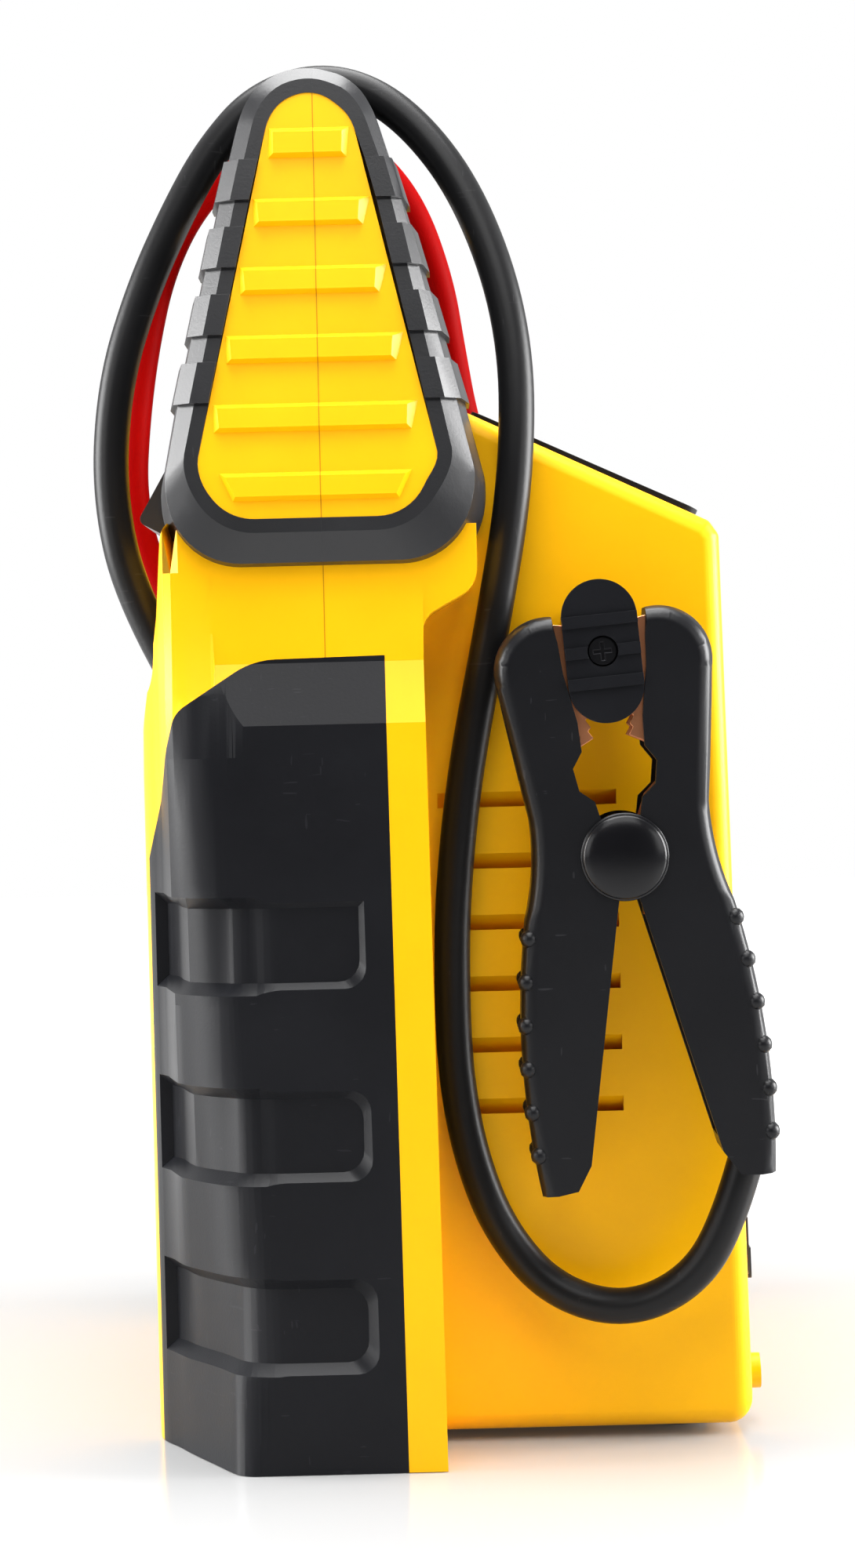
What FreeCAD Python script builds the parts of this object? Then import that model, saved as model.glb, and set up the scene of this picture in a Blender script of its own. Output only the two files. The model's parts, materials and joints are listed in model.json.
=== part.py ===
import FreeCAD, Part
import math
import os
from types import SimpleNamespace

V = FreeCAD.Vector
doc = FreeCAD.newDocument("JumpStarter")
sheet = doc.addObject("Spreadsheet::Sheet", "Sizes")

# Driving sizes in millimetres and degrees. X runs along the pack, Y from the battery box (minus) to the
# curved back (plus), Z up. Heights are above the floor, Y is counted from the front face of the columns.
SIZES = [
    ("origin_shift", 2.454, "moves everything along Y, so that the middle of the outline is at the origin"),
    ("body_half_width", 150.0, "half the width over the two columns"),
    ("body_depth", 82.0, "column front to the curved back, at the floor"),
    ("side_depth", 50.2, "depth of the flat column side"),
    ("facet_x", 100.0, "where the corner facet meets the back"),
    ("facet_y", 77.0, "depth at the inner end of the corner facet"),
    ("corner_radius", 18.0, "rounding of the column's rear corner"),
    ("shoulder_z", 192.0, "height where the column starts to draw in"),
    ("waist_z", 208.0, "height where the seam steps back"),
    ("saddle_half_width", 139.0, "half the width of the saddle under the handle"),
    ("saddle_top", 243.0, "top of the saddle"),
    ("flare_out", 14.4, "how far the saddle flares forward of the column"),
    ("deck_top", 279.0, "top of the casing under the hand hole"),
    ("deck_y", 30.0, "rear edge of the flat top"),
    ("box_half_width", 113.0, "half the width of the battery box"),
    ("box_front", 82.0, "box front at the floor, forward of the column"),
    ("box_lift", 2.5, "gap under the box"),
    ("box_lean", 3.8, "how much the box front leans back over its height"),
    ("box_front_top", 240.0, "top of the box front wall"),
    ("box_edge_radius", 6.5, "rounding along the lower front edge"),
    ("box_corner_radius", 5.0, "rounding of the upright front edges"),
    ("wall", 3.0, "wall of the casing"),
    ("slope_wall", 5.0, "wall under the control panel"),
    ("seam_low", 7.0, "seam between the shells below the waist"),
    ("seam_high", 26.5, "seam between the shells above the waist"),
    ("column_wall", 7.5, "wall of the columns with the guard's share"),
    ("column_cavity_top", 184.0, "top of the hollow inside the columns"),
    ("middle_half_width", 80.0, "half the width of the tall hollow"),
    ("guard_thickness", 5.0, "thickness of the corner guard"),
    ("guard_front", 11.2, "front edge of the corner guard"),
    ("guard_top", 209.5, "top edge of the corner guard"),
    ("recess_depth", 3.0, "depth of the recesses in the guard"),
    ("recess_front", 16.5, "front end of the recesses"),
    ("recess_height", 25.2, "height of one recess at its mouth"),
    ("recess_bottom", 25.2, "lower edge of the lowest recess"),
    ("recess_pitch", 48.9, "step from one recess to the next"),
    ("louvre_pitch", 16.32, "step from one louvre to the next"),
    ("louvre_low", 89.4, "height of the lowest louvre"),
    ("louvre_height", 4.0, "height of a louvre"),
    ("louvre_front", 49.0, "front end of the louvres"),
    ("louvre_back", 1.5, "rear end of the louvres"),
    ("louvre_pad", 9.0, "thickness of the wall at the louvres"),
    ("leg_back", 73.8, "rear corner of the handle leg"),
    ("leg_front", 22.2, "front corner of the handle leg"),
    ("leg_bottom", 230.5, "lower edge of the handle leg"),
    ("leg_apex_y", 30.2, "Y of the leg's sharp apex"),
    ("leg_apex_z", 422.9, "height of the leg's sharp apex"),
    ("leg_corner_radius", 20.0, "lower corners of the leg"),
    ("leg_top_radius", 19.1, "crown of the leg"),
    ("rim_back", 64.7, "rear corner of the rim"),
    ("rim_front", 9.0, "front corner of the rim"),
    ("rim_bottom", 241.5, "lower edge of the rim"),
    ("rim_apex_y", 27.7, "Y of the rim's sharp apex"),
    ("rim_apex_z", 411.3, "height of the rim's sharp apex"),
    ("rim_corner_radius", 17.0, "lower corners of the rim"),
    ("rim_top_radius", 14.3, "crown of the rim"),
    ("rim_width", 3.6, "width of the rim round the end plate"),
    ("plateau_x", 145.0, "X of the handle's end plate at its foot"),
    ("plateau_lean", 6.9, "lean of the end plate in degrees"),
    ("rim_drop", 3.5, "first bevel behind the rim"),
    ("bevel_share", 0.7, "share of the growth taken by the first bevel"),
    ("bevel_depth", 20.0, "depth of the bevel behind the rim"),
    ("grip_thickness", 3.0, "thickness of the soft grip"),
    ("hand_half_width", 92.0, "half the width of the hand hole"),
    ("hand_top", 326.0, "top of the hand hole"),
    ("throat_x", 104.0, "where the leg starts to narrow into the bar"),
    ("throat_z", 318.0, "height where the leg starts to narrow"),
    ("bar_back", 49.0, "rear lower corner of the bar"),
    ("bar_front", 5.0, "front lower corner of the bar"),
    ("bar_apex_y", 27.0, "Y of the bar's sharp apex"),
    ("bar_apex_z", 415.0, "height of the bar's sharp apex"),
    ("bar_corner_radius", 9.0, "lower corners of the bar"),
    ("bar_top_radius", 17.9, "crown of the bar"),
    ("step_pitch", 17.6, "step from one grip block to the next, and from rib to rib"),
    ("step_height", 10.6, "height of a grip block"),
    ("step_low", 280.6, "middle of the lowest grip block"),
    ("step_rise", 1.2, "how far a grip block stands out"),
    ("rib_low", 249.7, "lower edge of the lowest rib on the end plate"),
    ("rib_height", 7.3, "height of a rib"),
    ("rib_rise", 2.0, "how far a rib stands out"),
    ("rib_margin", 4.5, "rib end to the rim"),
    ("panel_thickness", 3.5, "control panel"),
    ("panel_proud", 1.8, "how far the panel stands out of the slope"),
    ("panel_half_width", 106.0, "half the width of the panel"),
    ("panel_low", 3.5, "lower edge of the panel along the slope"),
    ("panel_high", 78.0, "upper edge of the panel along the slope"),
    ("panel_gap", 0.2, "gap round the panel in its pocket"),
    ("knob_radius", 23.0, "power knob"),
    ("knob_place", 42.0, "knob centre along the slope"),
    ("knob_well_depth", 11.0, "depth of the knob's cup under the slope"),
    ("cup_wall", 2.0, "wall of the knob's cup"),
    ("turn_gap", 0.5, "gap round the knob"),
    ("spindle_radius", 3.0, "spindle of the rotary switch"),
    ("button_radius", 7.0, "push buttons"),
    ("button_x", 62.0, "X of the push buttons and of the gauge"),
    ("button_gap", 0.3, "gap round a button"),
    ("button_travel", 1.4, "travel of a button"),
    ("test_place", 55.0, "test button along the slope"),
    ("light_place", 30.0, "light button along the slope"),
    ("gauge_place", 45.0, "gauge along the slope"),
    ("gauge_width", 40.0, "gauge window width"),
    ("gauge_height", 14.0, "gauge window height"),
    ("board_thickness", 1.6, "circuit boards"),
    ("board_depth", 15.0, "circuit board under the slope"),
    ("screw_radius", 2.0, "casing screws"),
    ("screw_head_radius", 3.6, "heads of the casing screws"),
    ("small_screw_radius", 1.5, "panel screws"),
    ("fit_gap", 0.05, "clearance of a pin or screw in its hole"),
    ("outlet_x", 80.0, "X of the outlet and of the charging inlet"),
    ("outlet_z", 80.0, "height of the outlet"),
    ("outlet_radius", 10.6, "bore of the outlet"),
    ("outlet_length", 35.0, "length of the outlet"),
    ("outlet_wall", 1.9, "wall of the outlet"),
    ("mouth_drop", 0.7, "mouth of the outlet below the wall of the box"),
    ("inlet_z", 48.0, "height of the charging inlet"),
    ("inlet_radius", 3.3, "bore of the charging inlet"),
    ("cover_gap", 0.3, "gap under the closed covers"),
    ("cover_thickness", 1.7, "hinged covers"),
    ("cover_pin_radius", 0.5, "hinge pins of the covers"),
    ("stud_height", 3.6, "moulded stud on the front wall"),
    ("stud_radius", 4.75, "moulded stud on the front wall"),
    ("foot_radius", 9.0, "rubber feet under the box"),
    ("clamp_gap", 23.0, "end wall of the box to the middle plane of a clamp"),
    ("clamp_y", 49.1, "clamp pivot, forward of the column"),
    ("clamp_z", 156.2, "height of the clamp pivot"),
    ("clamp_tilt", 4.8, "lean of the parked clamp in degrees"),
    ("clamp_half", 10.5, "half the thickness of a clamp grip"),
    ("skin", 2.7, "plastic outside the copper jaw"),
    ("jaw_sheet", 1.2, "copper sheet of the jaws"),
    ("fixed_jaw_half", 8.2, "half the width of the outer jaw"),
    ("moving_jaw_half", 6.7, "half the width of the inner jaw"),
    ("clamp_pin_radius", 3.0, "pin of the clamp"),
    ("cap_radius", 11.4, "domed cap of the clamp pin"),
    ("cap_rise", 3.0, "height of the domed cap"),
    ("spring_wire", 0.9, "radius of the spring wire"),
    ("spring_radius", 4.7, "mean radius of the spring"),
    ("spring_pitch", 2.25, "step of the spring"),
    ("post_clearance", 0.4, "parked jaw to the post"),
    ("post_flange", 9.7, "half the width of the post's flange"),
    ("cord_radius", 4.75, "jump cable"),
    ("boot_radius", 7.5, "foot of the cable boot"),
    ("boot_length", 12.0, "cable boot"),
    ("cord_well", 10.0, "well round the cable boot"),
    ("lamp_y", 70.0, "lamp hinge, behind the column front"),
    ("lamp_z", 256.0, "height of the lamp hinge"),
    ("lamp_tilt", 30.0, "rest tilt of the lamp in degrees"),
    ("lamp_half", 30.0, "half the width of the lamp"),
    ("lamp_reach", 9.0, "hinge to the front of the lamp"),
    ("lamp_height", 20.0, "height of the lamp"),
    ("lamp_pin_radius", 2.0, "hinge pin of the lamp"),
    ("battery_half", 75.5, "half the width of the battery"),
    ("battery_depth", 98.0, "depth of the battery"),
    ("battery_height", 95.0, "height of the battery"),
]
for row, (alias, value, note) in enumerate(SIZES, start=1):
    sheet.set("A%d" % row, note)
    sheet.set("B%d" % row, str(value))
    sheet.setAlias("B%d" % row, alias)
doc.recompute()
p = SimpleNamespace(**{alias: float(sheet.get(alias)) for alias, value, note in SIZES})

FAR = 400.0


def unit(a, b):
    length = math.hypot(a, b)
    return a / length, b / length


def shrink(corners, t):
    """Moves every side of a closed outline inwards by t; corner radii follow"""
    count = len(corners)
    area = sum(corners[i - 1][0] * corners[i][1] - corners[i][0] * corners[i - 1][1] for i in range(count))
    turn = 1.0 if area > 0 else -1.0
    result = []
    for i in range(count):
        a, b, r = corners[i]
        pa, pb = corners[i - 1][:2]
        na, nb = corners[(i + 1) % count][:2]
        ux, uy = unit(a - pa, b - pb)
        wx, wy = unit(na - a, nb - b)
        cross = ux * wy - uy * wx
        ox, oy = -uy * turn * t, ux * turn * t
        qx, qy = -wy * turn * t, wx * turn * t
        if abs(cross) < 1e-6:
            result.append((a + ox, b + oy, r))
            continue
        k = ((qx - ox) * wy - (qy - oy) * wx) / cross
        radius = r - t if cross * turn > 0 else r + t
        result.append((a + ox + ux * k, b + oy + uy * k, max(radius, 0.6) if r > 0 else 0.0))
    return result


def outline(corners, place):
    """Closed wire through rounded corners (a, b, radius), laid out in space by place(a, b)"""
    count = len(corners)
    stops = []
    for i in range(count):
        a, b, r = corners[i]
        if r <= 0:
            stops.append((place(a, b), None, place(a, b)))
            continue
        pa, pb = corners[i - 1][:2]
        na, nb = corners[(i + 1) % count][:2]
        ux, uy = unit(pa - a, pb - b)
        wx, wy = unit(na - a, nb - b)
        half = math.acos(max(-1.0, min(1.0, ux * wx + uy * wy))) / 2
        t = r / math.tan(half)
        mx, my = unit(ux + wx, uy + wy)
        reach = r / math.sin(half) - r
        stops.append((place(a + ux * t, b + uy * t), place(a + mx * reach, b + my * reach),
                      place(a + wx * t, b + wy * t)))
    edges = []
    for i in range(count):
        start, middle, end = stops[i]
        before = stops[i - 1][2]
        if before.distanceToPoint(start) > 1e-5:
            edges.append(Part.LineSegment(before, start).toShape())
        if middle is not None:
            edges.append(Part.Arc(start, middle, end).toShape())
    return Part.Wire(edges)


def prism_x(corners, x_from, x_to):
    wire = outline(corners, lambda y, z: V(x_from, y, z))
    return Part.Face(wire).extrude(V(x_to - x_from, 0, 0))


def prism_y(corners, y_from, y_to):
    wire = outline(corners, lambda x, z: V(x, y_from, z))
    return Part.Face(wire).extrude(V(0, y_to - y_from, 0))


def prism_z(corners, z_from, z_to):
    wire = outline(corners, lambda x, y: V(x, y, z_from))
    return Part.Face(wire).extrude(V(0, 0, z_to - z_from))


def block(x0, x1, y0, y1, z0, z1):
    return Part.makeBox(x1 - x0, y1 - y0, z1 - z0, V(x0, y0, z0))


def ruled(wires):
    return Part.makeLoft(wires, True, True)


def both(solid):
    """The solid and its mirror image on the other side of the pack"""
    return [solid, solid.mirror(V(0, 0, 0), V(1, 0, 0))]


def main_solid(shape):
    return max(shape.Solids, key=lambda one: one.Volume)


def add_feature(label, shape):
    """A sub-part whose form comes from the functions below"""
    item = doc.addObject("Part::Feature", label)
    item.Label = label
    item.Shape = shape
    item.Placement = FreeCAD.Placement(V(0, p.origin_shift, 0), FreeCAD.Rotation())
    return item


# Casing: the rear part is what three views leave of a block, the box is an extruded side profile.
half = p.body_half_width
PLAN = [(half, 0, 0), (half, p.side_depth, p.corner_radius), (p.facet_x, p.facet_y, 30.0),
        (0, p.body_depth + 4.3, 900.0), (-p.facet_x, p.facet_y, 30.0),
        (-half, p.side_depth, p.corner_radius), (-half, 0, 0)]
FRONT_VIEW = [(half, 0, 0), (half - 2, p.shoulder_z, 0), (half - 9, p.waist_z, 0),
              (p.saddle_half_width, p.waist_z + 21, 0), (p.saddle_half_width, p.saddle_top + 2, 0),
              (p.box_half_width + 3, p.saddle_top + 2, 0), (p.box_half_width, p.deck_top, 0),
              (-p.box_half_width, p.deck_top, 0), (-p.box_half_width - 3, p.saddle_top + 2, 0),
              (-p.saddle_half_width, p.saddle_top + 2, 0), (-p.saddle_half_width, p.waist_z + 21, 0),
              (-half + 9, p.waist_z, 0), (-half + 2, p.shoulder_z, 0), (-half, 0, 0)]
REAR_PROFILE = [(0, 0, 0), (p.body_depth + 3, 0, 0), (p.body_depth - 0.5, 170.0, 40.0),
                (p.body_depth - 9.2, p.saddle_top - 26, 30.0), (p.body_depth - 13.5, p.saddle_top, 8.0),
                (p.deck_y, p.deck_top, 6.0), (0, p.deck_top, 0), (1.2, p.waist_z, 0)]
SLOPE_RISE = p.deck_top - p.box_front_top - p.box_lean
BOX_PROFILE = [(-p.box_front, p.box_lift, p.box_edge_radius), (p.deck_y, p.box_lift, 0),
               (p.deck_y, p.deck_top, 0), (0, p.deck_top, 0),
               (-p.box_front + 6.4, p.deck_top - SLOPE_RISE, 2.5),
               (-p.box_front + p.box_lean, p.box_front_top, 2.5)]
SADDLE = [(10.0, p.waist_z, 0), (1.2, p.waist_z, 0), (1.2, p.waist_z + 11, 6.0),
          (1.2 - p.flare_out, p.waist_z + 19, 8.0), (1.2 - p.flare_out, p.saddle_top, 0),
          (10.0, p.saddle_top, 0)]


def rear_mass(inset, floor):
    """Outer form of the rear part, moved inwards by inset on every side but the floor"""
    solid = prism_z(shrink(PLAN, inset), floor, p.deck_top - inset)
    solid = solid.common(prism_y(shrink(FRONT_VIEW, inset), -5, 100))
    return solid.common(prism_x(shrink(REAR_PROFILE, inset), -FAR, FAR))


def box_mass():
    solid = prism_x(BOX_PROFILE, -p.box_half_width, p.box_half_width)
    upright = []
    for edge in solid.Edges:
        box = edge.BoundBox
        if box.YMax < -p.box_front + p.box_lean + 1 and box.ZLength > 200:
            upright.append(edge)
    return solid.makeFillet(p.box_corner_radius, upright)


casing = rear_mass(0, 0).fuse(box_mass())
saddle = prism_x(SADDLE, p.hand_half_width, p.saddle_half_width)
for one in both(saddle):
    casing = casing.fuse(one)

# Hollow inside: the box, the tall middle and the two columns.
box_hollow = prism_x(shrink(BOX_PROFILE, p.wall), -p.box_half_width + p.wall, p.box_half_width - p.wall)
slope_angle = math.atan2(SLOPE_RISE, p.box_front - 6.4)
keep_slope = prism_x([(-FAR, p.deck_top - p.slope_wall - FAR * math.tan(slope_angle), 0),
                      (-FAR, -50, 0), (60, -50, 0),
                      (60, p.deck_top - p.slope_wall + 60 * math.tan(slope_angle), 0)], -FAR, FAR)
box_hollow = box_hollow.common(keep_slope)
middle = rear_mass(p.wall, p.wall).common(block(-p.middle_half_width, p.middle_half_width, -5, 100, 0, FAR))
columns = prism_z(shrink(PLAN, p.column_wall), p.wall, p.column_cavity_top)
columns = columns.common(prism_x(shrink(REAR_PROFILE, p.column_wall), -FAR, FAR))
hollow = box_hollow.fuse(middle).fuse(columns)


class Frame:
    """A flat working plane in space: a and b lie in it, c stands on it"""

    def __init__(self, origin, first, second):
        self.origin = origin
        self.a = first
        self.b = second
        self.c = first.cross(second)

    def at(self, a, b, c=0.0):
        return self.origin + self.a * a + self.b * b + self.c * c

    def prism(self, corners, c0, c1):
        wire = outline(corners, lambda a, b: self.at(a, b, c0))
        return Part.Face(wire).extrude(self.c * (c1 - c0))

    def box(self, a0, a1, b0, b1, c0, c1):
        return self.prism([(a0, b0, 0), (a1, b0, 0), (a1, b1, 0), (a0, b1, 0)], c0, c1)

    def disc(self, a, b, r, c0, c1):
        return Part.makeCylinder(r, abs(c1 - c0), self.at(a, b, min(c0, c1)), self.c)


X_AXIS = V(1, 0, 0)
slope = Frame(V(0, -p.box_front + 6.4, p.deck_top - SLOPE_RISE), X_AXIS,
              V(0, math.cos(slope_angle), math.sin(slope_angle)))
wall_angle = math.atan2(p.box_lean, p.box_front_top - p.box_lift)
front = Frame(V(0, -p.box_front, p.box_lift), X_AXIS, V(0, math.sin(wall_angle), math.cos(wall_angle)))
lamp_angle = math.radians(p.lamp_tilt)
lamp = Frame(V(0, p.lamp_y, p.lamp_z), V(0, math.cos(lamp_angle), math.sin(lamp_angle)),
             V(0, -math.sin(lamp_angle), math.cos(lamp_angle)))
tilt = math.radians(p.clamp_tilt)
clamp_x = p.box_half_width + p.clamp_gap
clamp = Frame(V(-clamp_x, -p.clamp_y, p.clamp_z), V(0, math.cos(tilt), -math.sin(tilt)),
              V(0, math.sin(tilt), math.cos(tilt)))
wall_c = p.clamp_gap

# Control panel with its cup, and what stands under it.
pocket_floor = p.panel_proud - p.panel_thickness
leg_clear = p.hand_half_width - 1.5
PANEL = [(-p.panel_half_width, p.panel_low, 4.0), (p.panel_half_width, p.panel_low, 4.0),
         (p.panel_half_width, p.panel_high - 8.5, 3.0), (leg_clear, p.panel_high - 8.5, 2.0),
         (leg_clear, p.panel_high, 3.0), (-leg_clear, p.panel_high, 3.0), (-leg_clear, p.panel_high - 8.5, 2.0),
         (-p.panel_half_width, p.panel_high - 8.5, 3.0)]
cup_radius = p.knob_radius + p.turn_gap
cup_outer = cup_radius + p.cup_wall
panel = slope.prism(PANEL, pocket_floor, p.panel_proud)
panel = panel.fuse(slope.disc(0, p.knob_place, cup_outer, -p.knob_well_depth, 0))
panel = panel.cut(slope.disc(0, p.knob_place, cup_radius, -p.knob_well_depth + p.cup_wall, 5))
panel = panel.cut(slope.disc(0, p.knob_place, p.spindle_radius + p.turn_gap, -p.knob_well_depth - 1, 0))
buttons = [(-p.button_x, p.test_place), (-p.button_x, p.light_place)]
for x, s in buttons:
    panel = panel.cut(slope.disc(x, s, p.button_radius + p.button_gap, -5, 5))
gw = p.gauge_width / 2
gh = p.gauge_height / 2
WINDOW = [(p.button_x - gw, p.gauge_place - gh, 2.0), (p.button_x + gw, p.gauge_place - gh, 2.0),
          (p.button_x + gw, p.gauge_place + gh, 2.0), (p.button_x - gw, p.gauge_place + gh, 2.0)]
lens_top = p.panel_proud - 0.4
lens_foot = lens_top - 1.6
panel = panel.cut(slope.prism(shrink(WINDOW, -1.5), lens_foot, 5)).cut(slope.prism(WINDOW, -5, 5))
panel_screw_at = [(sx * (p.panel_half_width - 6), p.panel_low + 6) for sx in (-1, 1)]
panel_screw_at += [(sx * (leg_clear - 6), p.panel_high - 6) for sx in (-1, 1)]
panel_screws = []
for x, s in panel_screw_at:
    panel = panel.cut(slope.disc(x, s, p.small_screw_radius + p.fit_gap, -5, 5))
    panel = panel.cut(slope.disc(x, s, 3.0, p.panel_proud - 1.2, 5))
    panel_screws.append(slope.disc(x, s, 2.8, p.panel_proud - 1.2, p.panel_proud - 0.1).fuse(
        slope.disc(x, s, p.small_screw_radius, -5, p.panel_proud - 1)))
under = -p.slope_wall
casing_cuts = [slope.prism(shrink(PANEL, -p.panel_gap), pocket_floor, 10),
               slope.disc(0, p.knob_place, cup_outer + p.panel_gap, -20, 5)]
casing_adds = []
for x, s in panel_screw_at:
    casing_adds.append(slope.disc(x, s, 4.0, under - 2, under + 1))
    casing_cuts.append(slope.disc(x, s, p.small_screw_radius + p.fit_gap, -5.4, 5))
for x, s in buttons:
    casing_cuts.append(slope.disc(x, s, p.button_radius + 2.2, -20, 5))
casing_cuts.append(slope.prism(shrink(WINDOW, -0.5), -20, 5))

board_top = -p.board_depth
board_low = board_top - p.board_thickness
board = slope.prism([(-88, 12, 0), (88, 12, 0), (88, 70, 0), (-88, 70, 0)], board_low, board_top)
switch_radius = 14.0
board = board.cut(slope.disc(0, p.knob_place, switch_radius + 0.5, -60, 0))
board_pegs = [(sx * 83.0, s) for sx in (-1, 1) for s in (17.0, 65.0)]
for x, s in board_pegs:
    casing_adds.append(slope.disc(x, s, 3.5, board_top, under + 1))
button_foot = -9.0
for x, s in buttons:
    board = board.fuse(slope.box(x - 3, x + 3, s - 3, s + 3, board_top, button_foot - p.button_travel - 0.1))
leds = []
for i in range(5):
    x = p.button_x - 14 + 7 * i
    leds.append(slope.box(x - 2, x + 2, p.gauge_place - 4, p.gauge_place + 4, board_top, lens_foot - 0.8))
lens = slope.prism(shrink(WINDOW, -1.4), lens_foot, lens_top)
switch = slope.disc(0, p.knob_place, switch_radius, -31, -p.knob_well_depth)
switch = switch.fuse(slope.disc(0, p.knob_place, p.spindle_radius, -p.knob_well_depth, -3.0))
knob_foot = -p.knob_well_depth + p.cup_wall + 0.3
knob = slope.disc(0, p.knob_place, p.knob_radius, knob_foot, -2.5)
grip_bar = slope.prism([(-5, p.knob_place - p.knob_radius + 1.5, 3.0), (5, p.knob_place - p.knob_radius + 1.5, 3.0),
                        (7, p.knob_place + p.knob_radius - 1.5, 3.0),
                        (-7, p.knob_place + p.knob_radius - 1.5, 3.0)], -3.0, p.panel_proud - 0.2)
knob = knob.fuse(grip_bar)
knob = knob.cut(slope.disc(0, p.knob_place, p.spindle_radius + p.fit_gap, -20, -2.95))

# Outlet and charging inlet low on the front wall, each under a hinged cover.
side_x = -p.outlet_x
outlet_b = p.outlet_z - p.box_lift
inlet_b = p.inlet_z - p.box_lift
barrel = p.outlet_radius + p.outlet_wall
outlet = front.disc(side_x, outlet_b, barrel, -p.outlet_length, -p.mouth_drop)
outlet = outlet.fuse(front.disc(side_x, outlet_b, barrel + 3, -p.wall - 2, -p.wall))
outlet = outlet.cut(front.disc(side_x, outlet_b, p.outlet_radius, -p.outlet_length + 2, 1))
# A relief behind the bore leaves room for the tip of the plug.
outlet = outlet.cut(front.disc(side_x, outlet_b, p.outlet_radius + 0.6, -p.outlet_length + 2, -p.outlet_length + 4))
casing_cuts.append(front.disc(side_x, outlet_b, barrel, -p.wall - 1, 1))
jack = p.inlet_radius + 2.2
inlet = front.disc(side_x, inlet_b, jack, -16, 0)
inlet = inlet.fuse(front.disc(side_x, inlet_b, jack + 2.5, -p.wall - 2, -p.wall))
inlet = inlet.cut(front.disc(side_x, inlet_b, p.inlet_radius, -14, 1))
inlet = inlet.fuse(front.disc(side_x, inlet_b, 1.0, -14.5, -4))
casing_cuts.append(front.disc(side_x, inlet_b, jack, -p.wall - 1, 1))


def hinged_cover(half_width, low, high, lip):
    """Plate with a finger lip below and a hinge barrel above; its pin; the two ears of the casing"""
    c0 = p.cover_gap
    c1 = c0 + p.cover_thickness
    pin_c = (c0 + c1) / 2
    pin_b = high + 1.3
    ear = 2.0
    x0 = side_x - half_width
    x1 = side_x + half_width
    plate = front.prism([(x0, low, 4.0), (x1, low, 4.0), (x1, high, 0), (x0, high, 0)], c0, c1)
    plate = plate.fuse(front.prism([(x0 + 5, low - 1.5, 1.5), (x1 - 5, low - 1.5, 1.5), (x1 - 5, low + lip, 0),
                                    (x0 + 5, low + lip, 0)], c0, c1 + 0.9))
    inner0 = x0 + ear + 0.3
    inner1 = x1 - ear - 0.3
    axis = front.at(inner0, pin_b, pin_c)
    knuckle = Part.makeCylinder(0.85, inner1 - inner0, axis, X_AXIS)
    plate = plate.cut(front.box(x0 - 1, inner0, high - 1.0, high + 3, -1, 4))
    plate = plate.cut(front.box(inner1, x1 + 1, high - 1.0, high + 3, -1, 4))
    plate = plate.fuse(knuckle).fuse(front.box(inner0, inner1, high - 0.5, pin_b, c0 + 0.2, c1 - 0.1))
    bore = Part.makeCylinder(p.cover_pin_radius + p.fit_gap, 2 * half_width + 4, front.at(x0 - 2, pin_b, pin_c), X_AXIS)
    pin = Part.makeCylinder(p.cover_pin_radius, 2 * half_width - 0.4, front.at(x0 + 0.2, pin_b, pin_c), X_AXIS)
    ears = [front.box(x0, x0 + ear, pin_b - 1.2, pin_b + 1.2, -0.5, c1 + 0.1),
            front.box(x1 - ear, x1, pin_b - 1.2, pin_b + 1.2, -0.5, c1 + 0.1)]
    return plate.cut(bore), pin, [one.cut(bore) for one in ears], front.at(side_x, pin_b, pin_c)


outlet_cover, outlet_pin, ears_a, outlet_hinge = hinged_cover(18.0, outlet_b - 18.0, outlet_b + 18.0, 4.5)
# A shallow dish under the outlet cover keeps it clear of a plug's edge.
outlet_cover = outlet_cover.cut(front.disc(side_x, outlet_b, barrel, p.cover_gap - 1, p.cover_gap + 0.8))
inlet_cover, inlet_pin, ears_b, inlet_hinge = hinged_cover(12.0, inlet_b - 9.0, inlet_b + 8.0, 7.0)
casing_adds += ears_a + ears_b
for x in (-92.0, 92.0):
    casing_adds.append(front.disc(x, 10.8, p.stud_radius, -1, p.stud_height))

feet = []
for x in (-88.0, 88.0):
    feet.append(Part.makeCylinder(p.foot_radius, p.box_lift, V(x, -62, 0)))

# Parking posts for the clamps.
lean = math.tan(math.radians(7.8))


def teeth_line(v):
    return v * lean + 0.3


POST = [(-teeth_line(42) + p.post_clearance, 42, 1.0), (teeth_line(42) - p.post_clearance, 42, 1.0),
        (teeth_line(65) - p.post_clearance, 65, 2.0), (-teeth_line(65) + p.post_clearance, 65, 2.0)]
post_v = 53.0
fl = p.post_flange
FLANGE = [(-fl, post_v - 18.5, fl - 0.1), (fl, post_v - 18.5, fl - 0.1), (fl, post_v + 18.5, fl - 0.1),
          (-fl, post_v + 18.5, fl - 0.1)]
flange_in = -p.fixed_jaw_half - p.panel_gap
flange_out = -p.clamp_half - 0.1
post = clamp.prism(POST, flange_in - 0.5, wall_c).fuse(clamp.prism(FLANGE, flange_out, flange_in))
for i in (-1, 0, 1):
    v = post_v + 8 * i
    ridge = [(-12, v - 1.5, 0), (12, v - 1.5, 0), (12, v + 1.5, 0), (-12, v + 1.5, 0)]
    post = post.fuse(clamp.prism(ridge, flange_out - 1.2, flange_out + 0.5).common(clamp.prism(FLANGE, -20, -6)))
post = post.cut(clamp.disc(0, post_v, p.screw_radius + p.fit_gap, -20, wall_c + 1))
post = post.cut(clamp.disc(0, post_v, p.screw_head_radius + 0.4, -20, -8))
post_screw = clamp.disc(0, post_v, p.screw_radius, -8, wall_c + 10)
post_screw = post_screw.fuse(clamp.disc(0, post_v, p.screw_head_radius, -8, -10.2 + 0.4))
post_screw = post_screw.cut(clamp.box(-2.4, 2.4, post_v - 0.5, post_v + 0.5, -12.5, -9.0))
post_screw = post_screw.cut(clamp.box(-0.5, 0.5, post_v - 2.4, post_v + 2.4, -12.5, -9.0))
casing_adds += both(clamp.disc(0, post_v, 6.0, wall_c + 1, wall_c + 11))
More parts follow.
